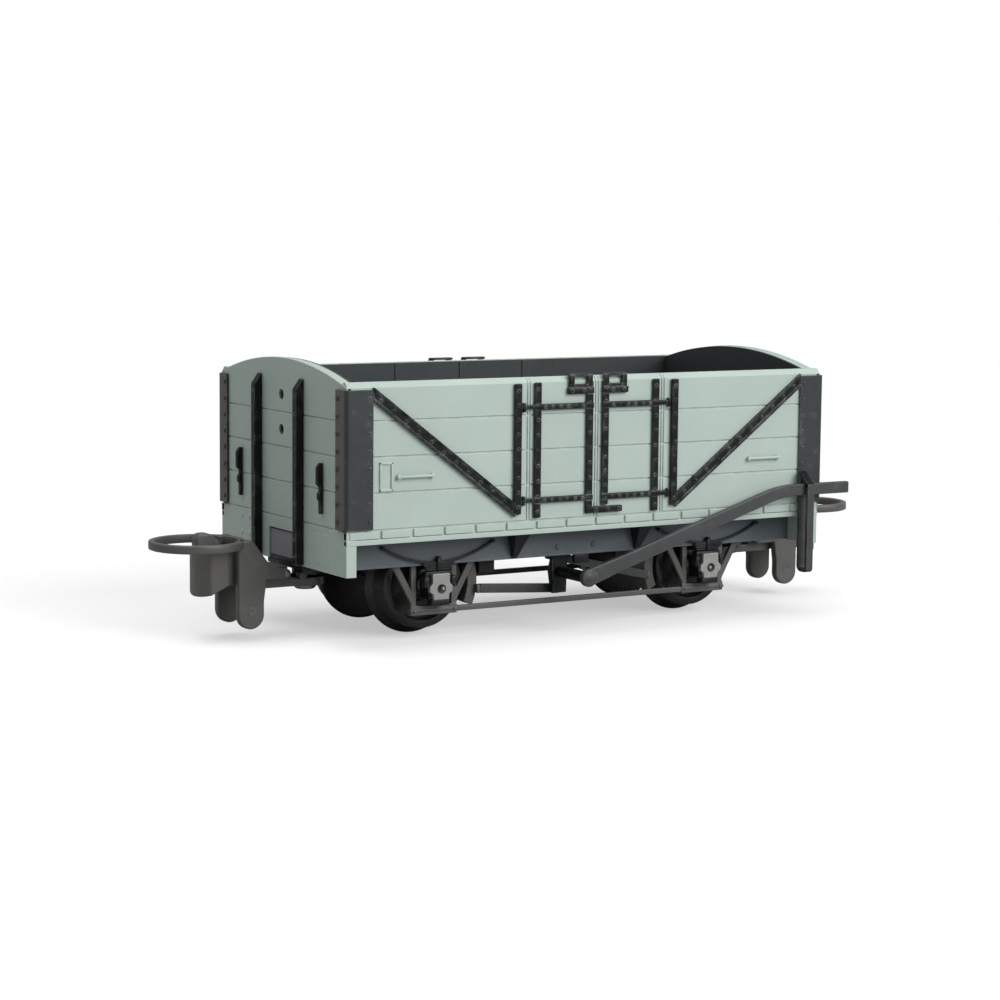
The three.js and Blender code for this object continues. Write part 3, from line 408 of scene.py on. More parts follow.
# The frame plastic again, painted near black as shade for the frame parts that sit in shade under the body.
SHADED = painted(
    "Shaded frame parts", "frame_plastic", "#15181A", 0.4, "#6C7276", 0.3, 0.05, tone=0.1, shine=0.3
)
GEAR = painted(
    "Warm grey gear", "gear_plastic", "#504F4D", 0.42, "#9A9A98", 0.35, 0.05, tone=0.1
)
LEVER = painted(
    "Dark grey lever", "gear_plastic", "#3A3C3D", 0.42, "#8E9090", 0.45, 0.06, tone=0.12, shine=0.4
)
DRAW_PLATE = painted(
    "Draw plate grey", "frame_plastic", "#858087", 0.5, "#A5A3A8", 0.3, 0.05, tone=0.06
)
AXLEBOX = painted(
    "Axlebox grey", "axlebox_paint", "#8C8C8A", 0.4, "#D2D2D0", 0.45, 0.12, metallic=0.2
)
WHEEL = painted(
    "Blackened wheel", "wheel_metal", "#353332", 0.3, "#8A8885", 0.5, 0.05, metallic=0.6, tone=0.1
)
STEEL = painted(
    "Turned steel", "steel", "#77797C", 0.3, "#B5B6B8", 0.4, 0.06, metallic=0.9
)


# ------------------------------------------------------------------ body
def side_outline(inside, outside, bottom, top):
    """A side plank across the wagon. The top one carries the chamfered rim."""
    if top < SIDE_FACE_TOP:
        return [(inside, bottom), (outside, bottom), (outside, top), (inside, top)]
    return [
        (inside, bottom),
        (outside, bottom),
        (outside, SIDE_FACE_TOP),
        (outside - RIM_CHAMFER, RIM_TOP),
        (inside, RIM_TOP),
    ]


def side_wall():
    """The planks of the left side, its curb and the ends of the floor boards, on a plain core."""
    core_reach = HALF_LENGTH - PLANK_GAP
    core = side_outline(
        HALF_WIDTH - SIDE_WALL, HALF_WIDTH - PLANK_GAP, CURB_BOTTOM + HALF_GAP, RIM_TOP - HALF_GAP
    )
    parts = [slab(core, "x", -core_reach, core_reach, 0.02)]
    joints = [joint + way * JOINT_STRIP for joint in (-DOOR_EDGE, 0, DOOR_EDGE) for way in (-1, 1)]
    columns = [-HALF_LENGTH, *joints, HALF_LENGTH]
    rows = [*PLANK_JOINTS, RIM_TOP + HALF_GAP]
    for bottom, top in zip(rows, rows[1:]):
        outline = side_outline(SIDE_SKIN_BACK, HALF_WIDTH, bottom + HALF_GAP, top - HALF_GAP)
        for left, right in zip(columns, columns[1:]):
            parts.append(slab(outline, "x", left + HALF_GAP, right - HALF_GAP, PLANK_ROUND))
    curb_face, curb_top = HALF_WIDTH + FLOOR_BOARD_PROUD / 2, CURB_TOP - HALF_GAP
    parts.append(
        block(-HALF_LENGTH, HALF_LENGTH, SIDE_SKIN_BACK, curb_face, CURB_BOTTOM, curb_top, PLANK_ROUND)
    )
    parts.extend(floor_board_ends())
    return parts


def floor_board_ends():
    """The ends of the floor boards, a row of low pads above the curb."""
    count = math.ceil(HALF_LENGTH / FLOOR_BOARD_PITCH)
    joints = [k * FLOOR_BOARD_PITCH for k in range(1 - count, count)]
    gap = FLOOR_BOARD_GAP / 2
    edges = [-HALF_LENGTH - gap, *joints, HALF_LENGTH + gap]
    face, top = HALF_WIDTH + FLOOR_BOARD_PROUD, PLANK_JOINTS[0] - HALF_GAP
    return [
        block(a + gap, b - gap, SIDE_SKIN_BACK, face, CURB_TOP, top, PLANK_ROUND)
        for a, b in zip(edges, edges[1:])
    ]


def arch_points(half_width, drop=0.0, steps=28):
    """The arched top edge of an end across the given half width, lowered by the drop."""
    rise = BODY.z1 - SIDE_FACE_TOP
    radius = (HALF_WIDTH ** 2 + rise ** 2) / (2 * rise)
    reach = math.degrees(math.asin(half_width / (radius - drop)))
    return arc((0, BODY.z1 - radius), radius - drop, 90 - reach, 90 + reach, steps)


def end_planks():
    """The planks of the front end on a plain core. The upper ones are bored right through."""
    core_half = HALF_WIDTH - HALF_GAP
    core = [(-core_half, SLOT_TOP), (core_half, SLOT_TOP), *arch_points(core_half, HALF_GAP)]
    parts = [slab(core, "x", END_INSIDE, HALF_LENGTH - PLANK_GAP, 0)]
    across = (-HALF_WIDTH, HALF_WIDTH)
    for bottom, top in zip(PLANK_JOINTS, PLANK_JOINTS[1:]):
        levels = (bottom + HALF_GAP, top - HALF_GAP)
        parts.append(block(END_SKIN_BACK, HALF_LENGTH, *across, *levels, PLANK_ROUND))
    top_plank = [(y, PLANK_JOINTS[-1] + HALF_GAP) for y in across] + arch_points(HALF_WIDTH)
    parts.append(slab(top_plank, "x", END_SKIN_BACK, HALF_LENGTH, PLANK_ROUND))
    return parts


def headstock():
    """The beam across the front end, open below its draw slot."""
    top = PLANK_JOINTS[0] - HALF_GAP
    outline = [
        (-HALF_WIDTH, BODY.z0),
        (-SLOT_HALF_WIDTH, BODY.z0),
        (-SLOT_HALF_WIDTH, SLOT_TOP),
        (SLOT_HALF_WIDTH, SLOT_TOP),
        (SLOT_HALF_WIDTH, BODY.z0),
        (HALF_WIDTH, BODY.z0),
        (HALF_WIDTH, top),
        (-HALF_WIDTH, top),
    ]
    return [slab(outline, "x", END_INSIDE, HALF_LENGTH, PLANK_ROUND)]


def bored(shape, drills):
    """A solid with round holes cut through it."""
    meshes = [bpy.data.meshes.new(name) for name in ("work", "drill")]
    shape.to_mesh(meshes[0])
    drills.to_mesh(meshes[1])
    work, tool = (bpy.data.objects.new(mesh.name, mesh) for mesh in meshes)
    for obj in (work, tool):
        bpy.context.scene.collection.objects.link(obj)
    cut = work.modifiers.new("Holes", "BOOLEAN")
    cut.operation, cut.solver, cut.object = "DIFFERENCE", "EXACT", tool
    result = bpy.data.meshes.new_from_object(work.evaluated_get(bpy.context.evaluated_depsgraph_get()))
    shape.clear()
    shape.from_mesh(result)
    for obj in (work, tool):
        bpy.data.objects.remove(obj)
    return shape


def end_fittings():
    """Bolt heads and two plain plates on the headstock."""
    bolts_y, bolts_z = (5.6, 6.95), (6.56, 7.85)
    plates_y, plate_half, plate_z0, plate_z1 = (-7.5, -6.1), 0.45, 5.7, 7.9
    parts = [rivet(HALF_LENGTH, y, z, "x", radius=0.2, height=0.08) for y in bolts_y for z in bolts_z]
    for y in plates_y:
        sides = (y - plate_half, y + plate_half)
        parts.append(block(HALF_LENGTH - 0.05, HALF_LENGTH + 0.04, *sides, plate_z0, plate_z1, 0.03))
    return parts


def side_rail(x0=14.45, x1=17.25, height=12.32):
    """A grab rail of the left side: a rod on two round posts."""
    face, out = HALF_WIDTH - 0.05, HALF_WIDTH + 0.3
    rail = rod(0.12, "x", (0, out - 0.08, height), x0, x1, 0.03, steps=16)
    posts = [rod(0.19, "y", (x, 0, height), face, out, 0.05, steps=16) for x in (x0, x1)]
    return [rail, *posts]


def ticket_clip(x0=-18.82, x1=-17.7, z0=11.3, z1=13.44, rim=0.16):
    """A small open frame of four bars on the left side."""
    face, proud = HALF_WIDTH - 0.05, HALF_WIDTH + 0.12
    bars = [(x0, x0 + rim, z0, z1), (x1 - rim, x1, z0, z1), (x0, x1, z0, z0 + rim), (x0, x1, z1 - rim, z1)]
    return [block(a, b, face, proud, c, d, 0.04) for a, b, c, d in bars]


def hole_lining_and_shade(z):
    """A dark plug that fills a hole in the end nearly to its face: the black lining behind the hole brought
    forward, with painted shade for the hole's depth.
    """
    return rod(END_HOLE_RADIUS - 0.01, "x", (0, 0, z), END_INSIDE, HALF_LENGTH - 0.2, 0.02, 28)


def end_hole_drills():
    """Two cylinders that stand where the holes of the front end are."""
    drills = bmesh.new()
    for z in END_HOLE_HEIGHTS:
        bmesh.ops.create_cone(
            drills,
            cap_ends=True,
            segments=28,
            radius1=END_HOLE_RADIUS,
            radius2=END_HOLE_RADIUS,
            depth=3,
            matrix=Matrix.Translation((HALF_LENGTH, 0, z)) @ Matrix.Rotation(math.pi / 2, 4, "Y"),
        )
    return drills


def build_body():
    side = mesh_of("side", [*side_wall(), *side_rail(), *ticket_clip()])
    rail = mesh_of("rail", side_rail())
    drills = end_hole_drills()
    planks = [bored(plank, drills) for plank in end_planks()]
    drills.free()
    end = mesh_of("end", [*planks, *headstock(), *end_fittings()])
    # dark plugs in the end holes: the lining behind them, and painted shade for their depth
    linings_and_shade = mesh_of("hole_linings_and_shade", [hole_lining_and_shade(z) for z in END_HOLE_HEIGHTS])
    for side_name, y in SIDES.items():
        piece(f"planks_{side_name}", mirrored(side, 1, y), PAINT, "wagon", ["body_shell"])
        piece(f"front_rail_{side_name}", mirrored(rail, -1, y), PAINT, "wagon")
    for end_name, x in ENDS.items():
        piece(f"planks_{end_name}", mirrored(end, x, 1), PAINT, "wagon", ["body_shell"])
        piece(f"hole_linings_and_shade_{end_name}", mirrored(linings_and_shade, x, 1), SHADED, "wagon")


def build_tub():
    """Boards on the load floor and upright seams inside, over the CAD lining."""
    tub = extent("inner_tub")
    lining, floor_thick = 0.25, 1.0
    gap, seam_half = 0.04, 0.35
    floor, top = tub.z0 + floor_thick, RIM_TOP - 0.1
    width = tub.y1 - lining
    edges = [tub.x0 + lining, *[k * FLOOR_BOARD_PITCH for k in range(-7, 8)], tub.x1 - lining]
    boards = [
        block(a + gap, b - gap, -width, width, floor - 0.05, floor + 0.07, 0.03)
        for a, b in zip(edges, edges[1:])
    ]
    piece("floor_boards", mesh_of("boards", boards), TUB, "wagon")
    seams = [
        block(x - seam_half, x + seam_half, y - 0.05, y + 0.05, floor, top, 0.03)
        for y in (-width, width)
        for x in (-DOOR_EDGE, 0, DOOR_EDGE)
    ]
    piece("inside_seams", mesh_of("seams", seams), TUB, "wagon")


# ------------------------------------------------------------------ ironwork on the body
def corner_plate():
    """An angle plate round the corner, riveted on both faces."""
    e = extent("corner_plate_front_left")
    thick, corner = 0.19, 0.36
    outline = [
        (e.x0, e.y1 - thick),
        (e.x1 - thick, e.y1 - thick),
        (e.x1 - thick, e.y0),
        (e.x1, e.y0),
        *arc((e.x1 - corner, e.y1 - corner), corner, 0, 90, 6),
        (e.x0, e.y1),
    ]
    parts = [slab(outline, "z", e.z0, e.z1, 0.04)]
    for z in spaced(e.z0 + 0.6, e.z1 - 0.6, 8):
        parts.append(rivet(e.x0 + 0.3, e.y1, z, "y"))
        parts.append(rivet(e.x1, e.y0 + 0.35, z, "x", radius=0.22, height=0.14))
    return parts


def end_stanchion():
    """An upright bar on the end, tapered at its top, with a row of rivets."""
    e = extent("end_stanchion_front_left")
    taper_start, tip = 18.4, 0.12
    outline = [(e.x0, e.z0), (e.x1, e.z0), (e.x1, taper_start), (e.x0 + tip, e.z1), (e.x0, e.z1)]
    heads = [rivet(e.x1 - 0.02, e.y, z, "x") for z in spaced(e.z0 + 0.6, taper_start - 0.5, 10)]
    return [slab(outline, "y", e.y0, e.y1, 0.07), *heads]


def end_handle():
    """A cast grab handle: a deep grip above, a notch, a small knuckle and a foot."""
    e = extent("end_handle_front_left")
    web, knuckle = e.x0 + 0.26, e.x0 + 0.4
    outline = [
        (e.x0, e.z0),
        (web, e.z0),
        (web, 10.35),
        (knuckle, 10.55),
        (knuckle, 10.9),
        (web, 11.1),
        (web, 11.4),
        (e.x1, 11.65),
        (e.x1, 12.85),
        (web, e.z1),
        (e.x0, e.z1),
    ]
    return [slab(outline, "y", e.y0, e.y1, 0.06)]


def side_brace():
    """The door post and the ribbed brace that climbs from its foot to the corner plate."""
    e = extent("side_brace_front_left")
    post_x = e.x0 + STRAP_HALF
    parts = [block(e.x0, e.x0 + 2 * STRAP_HALF, e.y0, e.y1, e.z0, e.z1, STRAP_ROUND)]
    parts += [rivet(post_x, e.y1, z, "y") for z in spaced(e.z0 + 0.6, e.z1 - 0.5, 9)]
    foot, slope = (post_x + 0.2, 9.36), math.radians(37)

    def strip(offset, half, proud):
        """A sloping strip with upright ends, offset across the brace."""
        lift, tall = offset / math.cos(slope), half / math.cos(slope)
        low, high = foot[1] + lift, foot[1] + lift + (e.x1 - foot[0]) * math.tan(slope)
        outline = [(foot[0], low - tall), (e.x1, high - tall), (e.x1, high + tall), (foot[0], low + tall)]
        return slab(outline, "y", e.y0, e.y0 + proud, 0.03)

    ridge_half, ridge = 0.09, e.y1 - e.y0 - 0.02
    web = ridge * 0.6
    parts.append(strip(0, BRACE_HALF, web))
    parts += [strip(way * (BRACE_HALF - ridge_half), ridge_half, ridge) for way in (1, -1)]
    for x in spaced(foot[0] + 0.9, e.x1 - 0.6, 11):
        z = foot[1] + (x - foot[0]) * math.tan(slope)
        parts.append(rivet(x, e.y0 + web, z, "y", height=0.1))
    return parts


def door_ironwork(has_bottom_latch):
    """One door's straps, its two hinge bars and the latch over the rim."""
    e = extent("door_ironwork_front_left")
    face, raised = HALF_WIDTH + 0.03, e.y1 - RIVET_HEIGHT - 0.01
    strap_face = raised - 0.06
    inner = CENTRE_STRAP_X - STRAP_HALF
    outer = DOOR_STRAP_X + STRAP_HALF
    bottoms = {DOOR_STRAP_X: 8.65, CENTRE_STRAP_X: 8.76 if has_bottom_latch else 9.36}
    parts = []
    for x, bottom in bottoms.items():
        sides = (x - STRAP_HALF, x + STRAP_HALF)
        parts.append(block(*sides, face, strap_face, bottom, SIDE_FACE_TOP, STRAP_ROUND))
        parts += [rivet(x, strap_face, z, "y") for z in spaced(bottom + 0.5, SIDE_FACE_TOP - 0.5, 9)]
    for z0, z1 in HINGE_BARS:
        middle = (z0 + z1) / 2
        parts.append(block(inner - 0.01, outer + 0.05, face, raised, z0, z1, 0.09))
        parts.append(block(outer, e.x1, face, strap_face - 0.06, z0 + 0.07, z1 - 0.05, 0.06))
        parts += [rivet(x, raised, middle, "y", radius=0.1) for x in spaced(inner + 0.95, outer - 0.9, 6)]
        parts.append(rod(0.15, "z", (e.x1 - 0.2, strap_face - 0.08, 0), z0 - 0.12, z1 + 0.12, 0.04, 16))
    parts += top_latch(inner, face, strap_face, raised)
    if has_bottom_latch:
        latch = (8.78, 9.28)
        parts.append(block(-2.3, CENTRE_STRAP_X + 0.02, face, raised, *latch, 0.09))
        parts += [rivet(x, raised, sum(latch) / 2, "y", radius=0.13) for x in (-2.0, -0.95, 0.1)]
    return parts


def top_latch(inner, face, strap_face, raised):
    """A bar and a bent loop that hooks over the rim, leaving a small window."""
    left, right = inner + 0.1, 2.62
    leg = 0.46
    over_rim = HALF_WIDTH - RIM_CHAMFER
    out = strap_face + 0.03
    bar, sill, legs, lintel = (17.96, 18.48), (18.4, 18.72), (18.45, 19.44), (RIM_TOP + 0.03, RIM_TOP + 0.21)
    bolts = sum(bar) / 2
    return [
        block(inner - 0.02, right + 0.12, face, raised, *bar, 0.09),
        block(left + 0.02, right - 0.02, face, out - 0.02, *sill, 0.05),
        block(left, left + leg, face, out, *legs, 0.08),
        block(right - leg, right, face, out, *legs, 0.08),
        block(left + 0.03, right - 0.03, over_rim, out - 0.03, *lintel, 0.06),
        rivet(right - 0.25, raised, bolts, "y"),
        rivet(left + 0.8, raised, bolts, "y"),
    ]


def build_ironwork():
    at_corners("corner_plate", corner_plate(), PLATE)
    at_corners("end_stanchion", end_stanchion(), IRON)
    at_corners("end_handle", end_handle(), IRON)
    at_corners("side_brace", side_brace(), IRON)
    for end, x in ENDS.items():
        mesh = mesh_of("door", door_ironwork(end == "rear"))
        for side, y in SIDES.items():
            node = f"door_ironwork_{end}_{side}"
            piece(f"fine_{node}", mirrored(mesh, x, y), IRON, "wagon", [node])


# ------------------------------------------------------------------ underframe
def solebar():
    """The left solebar, as a channel with a lip along its top and bottom."""
    web, reach = SOLEBAR_OUTSIDE - 0.04, FRAME_REACH
    lips = ((SOLEBAR_BOTTOM, SOLEBAR_BOTTOM + 0.16), (FRAME_TOP - 0.3, FRAME_TOP))
    bolt_x, bolt_z = 1.66, 5.9
    parts = [block(-reach, reach, SOLEBAR_INSIDE, web, SOLEBAR_BOTTOM, FRAME_TOP)]
    for z0, z1 in lips:
        parts.append(block(-reach, reach, SOLEBAR_INSIDE + 0.1, SOLEBAR_OUTSIDE, z0, z1, 0.04))
    for x in (-bolt_x, bolt_x):
        parts.append(rivet(x, web, bolt_z, "y", radius=0.26, height=0.14))
        parts.append(rivet(x, SOLEBAR_OUTSIDE + 0.04, bolt_z, "y", radius=0.14, height=0.1))
    return parts


def knee(x):
    """The bracket under the overhanging floor, drawn in to a narrow foot on the solebar."""
    inner, outer, top, bottom = 7.95, 9.45, 7.5, 5.3
    half_top, half_foot = 0.7, 0.2
    shape = bmesh.new()
    for half, y, z in (
        (half_top, inner, top),
        (half_top, outer, top),
        (half_top - 0.06, outer, top - 0.25),
        (half_foot, inner, bottom),
        (half_foot, inner + 0.25, bottom),
    ):
        for way in (-1, 1):
            shape.verts.new((x + way * half, y, z))
    bmesh.ops.convex_hull(shape, input=shape.verts)
    return round_edges(shape, 0.05)


def underframe_half():
    """Cross members, centre beam and pivot boss of the front half."""
    across, levels = (-FRAME_BEAM_HALF, FRAME_BEAM_HALF), (FRAME_BOTTOM, FRAME_TOP)
    end_beam, centre_beam, centre_half, centre_bottom = (18.3, FRAME_REACH), (7, 19), 1.2, 6
    pivot, boss, boss_bottom = (extent("coupler_screw_front").x, 0, 0), 1, 3.94
    return [
        block(*end_beam, *across, *levels, 0.06),
        block(*MIDDLE_BEAM, *across, *levels, 0.06),
        block(*centre_beam, -centre_half, centre_half, centre_bottom, FRAME_TOP, 0.06),
        rod(boss, "z", pivot, boss_bottom, FRAME_BOTTOM + 0.2, 0.06, 40),
    ]


def draw_gear():
    """The block below the headstock and the lug beside the wheel, drawn near black as painted shade."""
    back, half_width, neck_half = 20, 3.08, 2.05
    lug_sides, lug_bottom = (-5.75, -4.6), 3.9
    return [
        block(*MIDDLE_BEAM, *lug_sides, lug_bottom, FRAME_BOTTOM + 0.1, 0.06),
        block(back, 21.18, -half_width, half_width, 4.62, 5.04, 0.08),
        block(back, 21.36, -neck_half, neck_half, 5.09, DRAW_PLATE_BOTTOM, 0.04),
    ]


def draw_plate():
    """The grey plate behind the slot of the headstock."""
    return [block(20, HALF_LENGTH - 0.12, -2, 2, DRAW_PLATE_BOTTOM, 7.4, 0.06)]


def solebar_bracket():
    """The small bracket under the right solebar."""
    x0, x1, outside, bottom = -0.1, 1.25, -8.0, 4.5
    return [block(x0, x1, outside, -SOLEBAR_INSIDE - 0.02, bottom, SOLEBAR_BOTTOM + 0.1, 0.08)]


def axle_guard(x):
    """The W-shaped plate that holds an axlebox, behind the left solebar."""
    e = extent("axle_guard_front_left")
    y0, y1 = e.y0, e.y0 + 0.36
    post_reach, post_half, leg_half = 1.74, 0.22, 0.25
    rivet_z = 6.4
    parts = [
        block(x - 3.95, x + 3.95, y0, y1, 6, e.z1),
        block(x - 2, x + 2, y0, e.y1, e.z0, e.z0 + 0.75, 0.07),
        block(x - 2.05, x + 2.05, y0 + 0.05, e.y1 + 0.06, e.z0 + 0.2, e.z0 + 0.5, 0.06),
    ]
    for way in (1, -1):
        post = x + way * post_reach
        parts.append(block(post - post_half, post + post_half, y0, y1 + 0.02, e.z0, e.z1, 0.06))
        leg = [(x + way * reach, z, leg_half) for reach, z in ((1.7, 2.35), (3.55, 5.7), (3.7, 6.9))]
        parts.append(slab(ribbon(leg), "y", y0, y1, 0.06))
        parts += [rivet(x + way * reach, y1, rivet_z, "y") for reach in (3.2, 0.9)]
        parts.append(rivet(post, e.y1 + 0.04, e.z0 + 0.35, "y", radius=0.16, height=0.12))
    return parts


def axlebox_cover(x):
    """The winged front cover of the axlebox."""
    e = extent("axlebox_front_left")
    z = AXLE_HEIGHT
    right = [(0.66, -0.83), (0.7, -0.4), (0.98, -0.22), (0.98, 0.2), (0.74, 0.42), (0.74, 1.16)]
    cover = [(x + a, z + b) for a, b in right] + [(x - a, z + b) for a, b in right[::-1]]
    ball = rivet(x - 0.1, e.y1 - 0.02, z + 0.02, "y", radius=0.15, height=0.14)
    return [slab(cover, "y", e.y1 - 0.45, e.y1 - 0.02, 0.07), ball]


def axlebox_shell(x):
    """What lies round the cover: the shell, its keep, its crown and cheeks, and a flat dark disc with a thin
    rim that stands for the cap recess, its darkness painted shade.
    """
    e = extent("axlebox_front_left")
    z = AXLE_HEIGHT
    front = e.y1
    # a nearly flat disc drawn dark stands for the recess: painted shade
    ring = [(0, -0.1), (0.36, -0.1), (0.36, 0), (0.31, 0), (0.29, -0.012), (0, -0.012)]
    parts = [
        lathe(ring, "y", (x, front, z), 28),
        block(x - 0.9, x + 0.9, e.y0, front - 0.35, z - 0.85, z + 0.85, 0.08),
        block(x - 1.15, x + 1.15, 7.75, front - 0.42, z + 0.8, z + 1.3, 0.06),
        block(x - 0.78, x + 0.78, 7.9, front - 0.1, z - 1.28, z - 0.78, 0.07),
    ]
    for way in (1, -1):
        cheek = x + way * 1.15
        parts.append(block(cheek - 0.22, cheek + 0.22, 7.85, front - 0.16, z + 0.1, z + 0.95, 0.1))
        parts.append(rivet(cheek, front - 0.16, z + 0.25, "y", radius=0.13, height=0.1))
    return parts


def leaf_spring(x):
    """The long arched leaf, the short leaves below it, a buckle, and a shackle at each end."""
    e = extent("leaf_spring_front_left")
    half_length, low, high = (e.x1 - e.x0) / 2 - 0.05, 5.42, 6.75
    face, foot = e.y0, AXLE_HEIGHT + 1.33
    rise, leaf_half = high - low, 0.09
    places = spaced(-half_length, half_length, 21)
    leaf = [(x + t, low + rise * (t / half_length) ** 2, leaf_half) for t in places]
    parts = [slab(ribbon(leaf), "y", face, face + 0.26, 0.02)]
    for k, top in enumerate(spaced(low - 0.04, foot + 0.14, 4)):
        reach = 1.35 - 0.1 * k
        parts.append(block(x - reach, x + reach, face, face + 0.3 - 0.02 * k, top - 0.12, top, 0.03))
    parts.append(block(x - 0.2, x + 0.2, face, e.y1, foot, low + 0.3, 0.06))
    parts.append(block(x - 0.12, x + 0.12, face, e.y1 - 0.04, low + 0.26, low + 0.45, 0.04))
    for way in (1, -1):
        parts.append(rod(0.14, "y", (x + way * half_length, 0, high), face, face + 0.32, 0.04, 16))
    return parts


def tie_bar():
    e = extent("tie_bar_left")
    return [block(e.x0, e.x1, e.y0, e.y1, e.z0, e.z1, 0.06)]


def build_underframe():
    half = mesh_of("half", underframe_half())
    bars = mesh_of("solebar", solebar())
    knees = mesh_of("knees", [knee(KNEE_X), knee(-KNEE_X)])
    gear = mesh_of("draw_gear", draw_gear())
    plate = mesh_of("draw_plate", draw_plate())
    for end, x in ENDS.items():
        piece(f"frame_{end}", mirrored(half, x, 1), FRAME, "wagon", ["underframe"])
        piece(f"draw_plate_{end}", mirrored(plate, x, 1), DRAW_PLATE, "wagon", ["underframe"])
        piece(f"draw_gear_{end}", mirrored(gear, x, 1), SHADED, "wagon", ["underframe"])
    bar = mesh_of("tie_bar", tie_bar())
    for side, y in SIDES.items():
        piece(f"solebar_{side}", mirrored(bars, 1, y), FRAME, "wagon", ["underframe"])
        piece(f"knees_{side}", mirrored(knees, 1, y), SHADED, "wagon", ["underframe"])
        piece(f"fine_tie_bar_{side}", mirrored(bar, 1, y), GEAR, "wagon", [f"tie_bar_{side}"])
    piece("solebar_bracket", mesh_of("bracket", solebar_bracket()), SHADED, "wagon", ["underframe"])
    axle_x = extent("axle_guard_front_left").x
    at_corners("axle_guard", axle_guard(axle_x), GEAR)
    at_corners("axlebox", axlebox_cover(axle_x), AXLEBOX)
    at_corners("leaf_spring", leaf_spring(axle_x), SHADED)
    shell = mesh_of("axlebox_shell", axlebox_shell(axle_x))
    for end, x in ENDS.items():
        for side, y in SIDES.items():
            corner = f"{end}_{side}"
            nodes = [f"axlebox_{corner}"]
            piece(f"axlebox_shell_{corner}", mirrored(shell, x, y), SHADED, "wagon", nodes)


# ------------------------------------------------------------------ wheels
def wheel_profile(flange, tread, width):
    """Radius and distance from the back of the wheel: flange, tread, rim, dished web and hub."""
    bore = 0.72
    return [
        (bore, 0),
        (flange - 0.2, 0),
        (flange - 0.06, 0.05),
        (flange, 0.16),
        (flange - 0.05, 0.29),
        (tread + 0.14, 0.46),
        (tread + 0.02, 0.62),
        (tread - 0.05, width - 0.14),
        (tread - 0.12, width - 0.03),
        (tread - 0.22, width),
        (tread - 0.62, width),
        (tread - 0.7, width - 0.1),
        (tread - 0.82, 1.4),
        (1.5, 1.3),
        (1.3, 1.42),
        (1.2, width - 0.16),
        (1.1, width - 0.1),
        (bore, width - 0.1),
    ]


def build_wheelsets():
    wheel = extent("wheel_front_left")
    profile = wheel_profile((wheel.z1 - wheel.z0) / 2, AXLE_HEIGHT, wheel.y1 - wheel.y0)
    wheel_mesh = mesh_of("wheel", [lathe(profile, "y", (wheel.x, wheel.y0, AXLE_HEIGHT), 72)])
    axle = extent("axle_front")
    shoulder, journal = wheel.y1 + 0.3, 0.42
    shaft = [(0, axle.y0), (journal, axle.y0), (journal, -shoulder - 0.2), (0.7, -shoulder)]
    shaft += [(r, -a) for r, a in shaft[::-1]]
    axle_mesh = mesh_of("axle", [lathe(shaft, "y", (wheel.x, 0, AXLE_HEIGHT), 36)])
    for end, way in ENDS.items():
        body = f"wheelset_{end}"
        piece(f"fine_axle_{end}", mirrored(axle_mesh, way, 1), STEEL, body, [f"axle_{end}"])
        for side, y in SIDES.items():
            node = f"wheel_{end}_{side}"
            piece(f"fine_{node}", mirrored(wheel_mesh, way, y), WHEEL, body, [node])


# ------------------------------------------------------------------ couplers
def coupler_body():
    """The buffer pad, its sloping nose, and the web and shank behind them."""
    e = extent("coupler_body_front")
    back, shoulder, half_width, top, low, high = 26.7, 28.2, e.y1, 6.4, 2.8, 3.72
    sagitta = e.x1 - shoulder
    radius = (half_width ** 2 + sagitta ** 2) / (2 * sagitta)
    reach = math.degrees(math.asin(half_width / radius))
    face = arc((e.x1 - radius, 0), radius, -reach, reach, 16)
    pad = slab([(back, -half_width), *face, (back, half_width)], "z", low, top, 0.14)
    for vertex in pad.verts:
        if vertex.co.z < (low + top) / 2:
            vertex.co.z += (high - low) * (e.x1 - vertex.co.x) / (e.x1 - back)
    pin, lug = extent("coupler_pin_front"), 0.5
    shank_back, shank_bottom, shank_top = 18.6, e.z0 + 0.45, 3.86
    web = [
        (back + 0.1, high),
        (back + 0.1, top - 0.02),
        (24.5, top - 0.02),
        (23.3, pin.z + lug),
        (pin.x - lug, pin.z + lug),
        (pin.x - lug, shank_top),
        (shank_back, shank_top),
        (shank_back, shank_bottom),
        (23.4, shank_bottom),
    ]
    nose = [
        (e.x1 - 1.95, top - 0.2),
        (e.x1 - 0.05, top - 0.2),
        (e.x1 - 0.01, 7.2),
        (e.x1 - 0.3, 7.58),
        (e.x1 - 1.05, 7.6),
        (e.x1 - 1.95, 6.95),
    ]
    return [
        pad,
        slab(web, "y", -1.35, 1.35, 0.08),
        slab(nose, "y", -0.6, 0.6, 0.18),
        rod(1.5, "z", (extent("coupler_screw_front").x, 0, 0), e.z0 + 0.4, shank_top, 0.06, 40),
        rod(0.32, "y", (20.4, 0, 4.05), -1.6, -0.9, 0.05, 20),
    ]


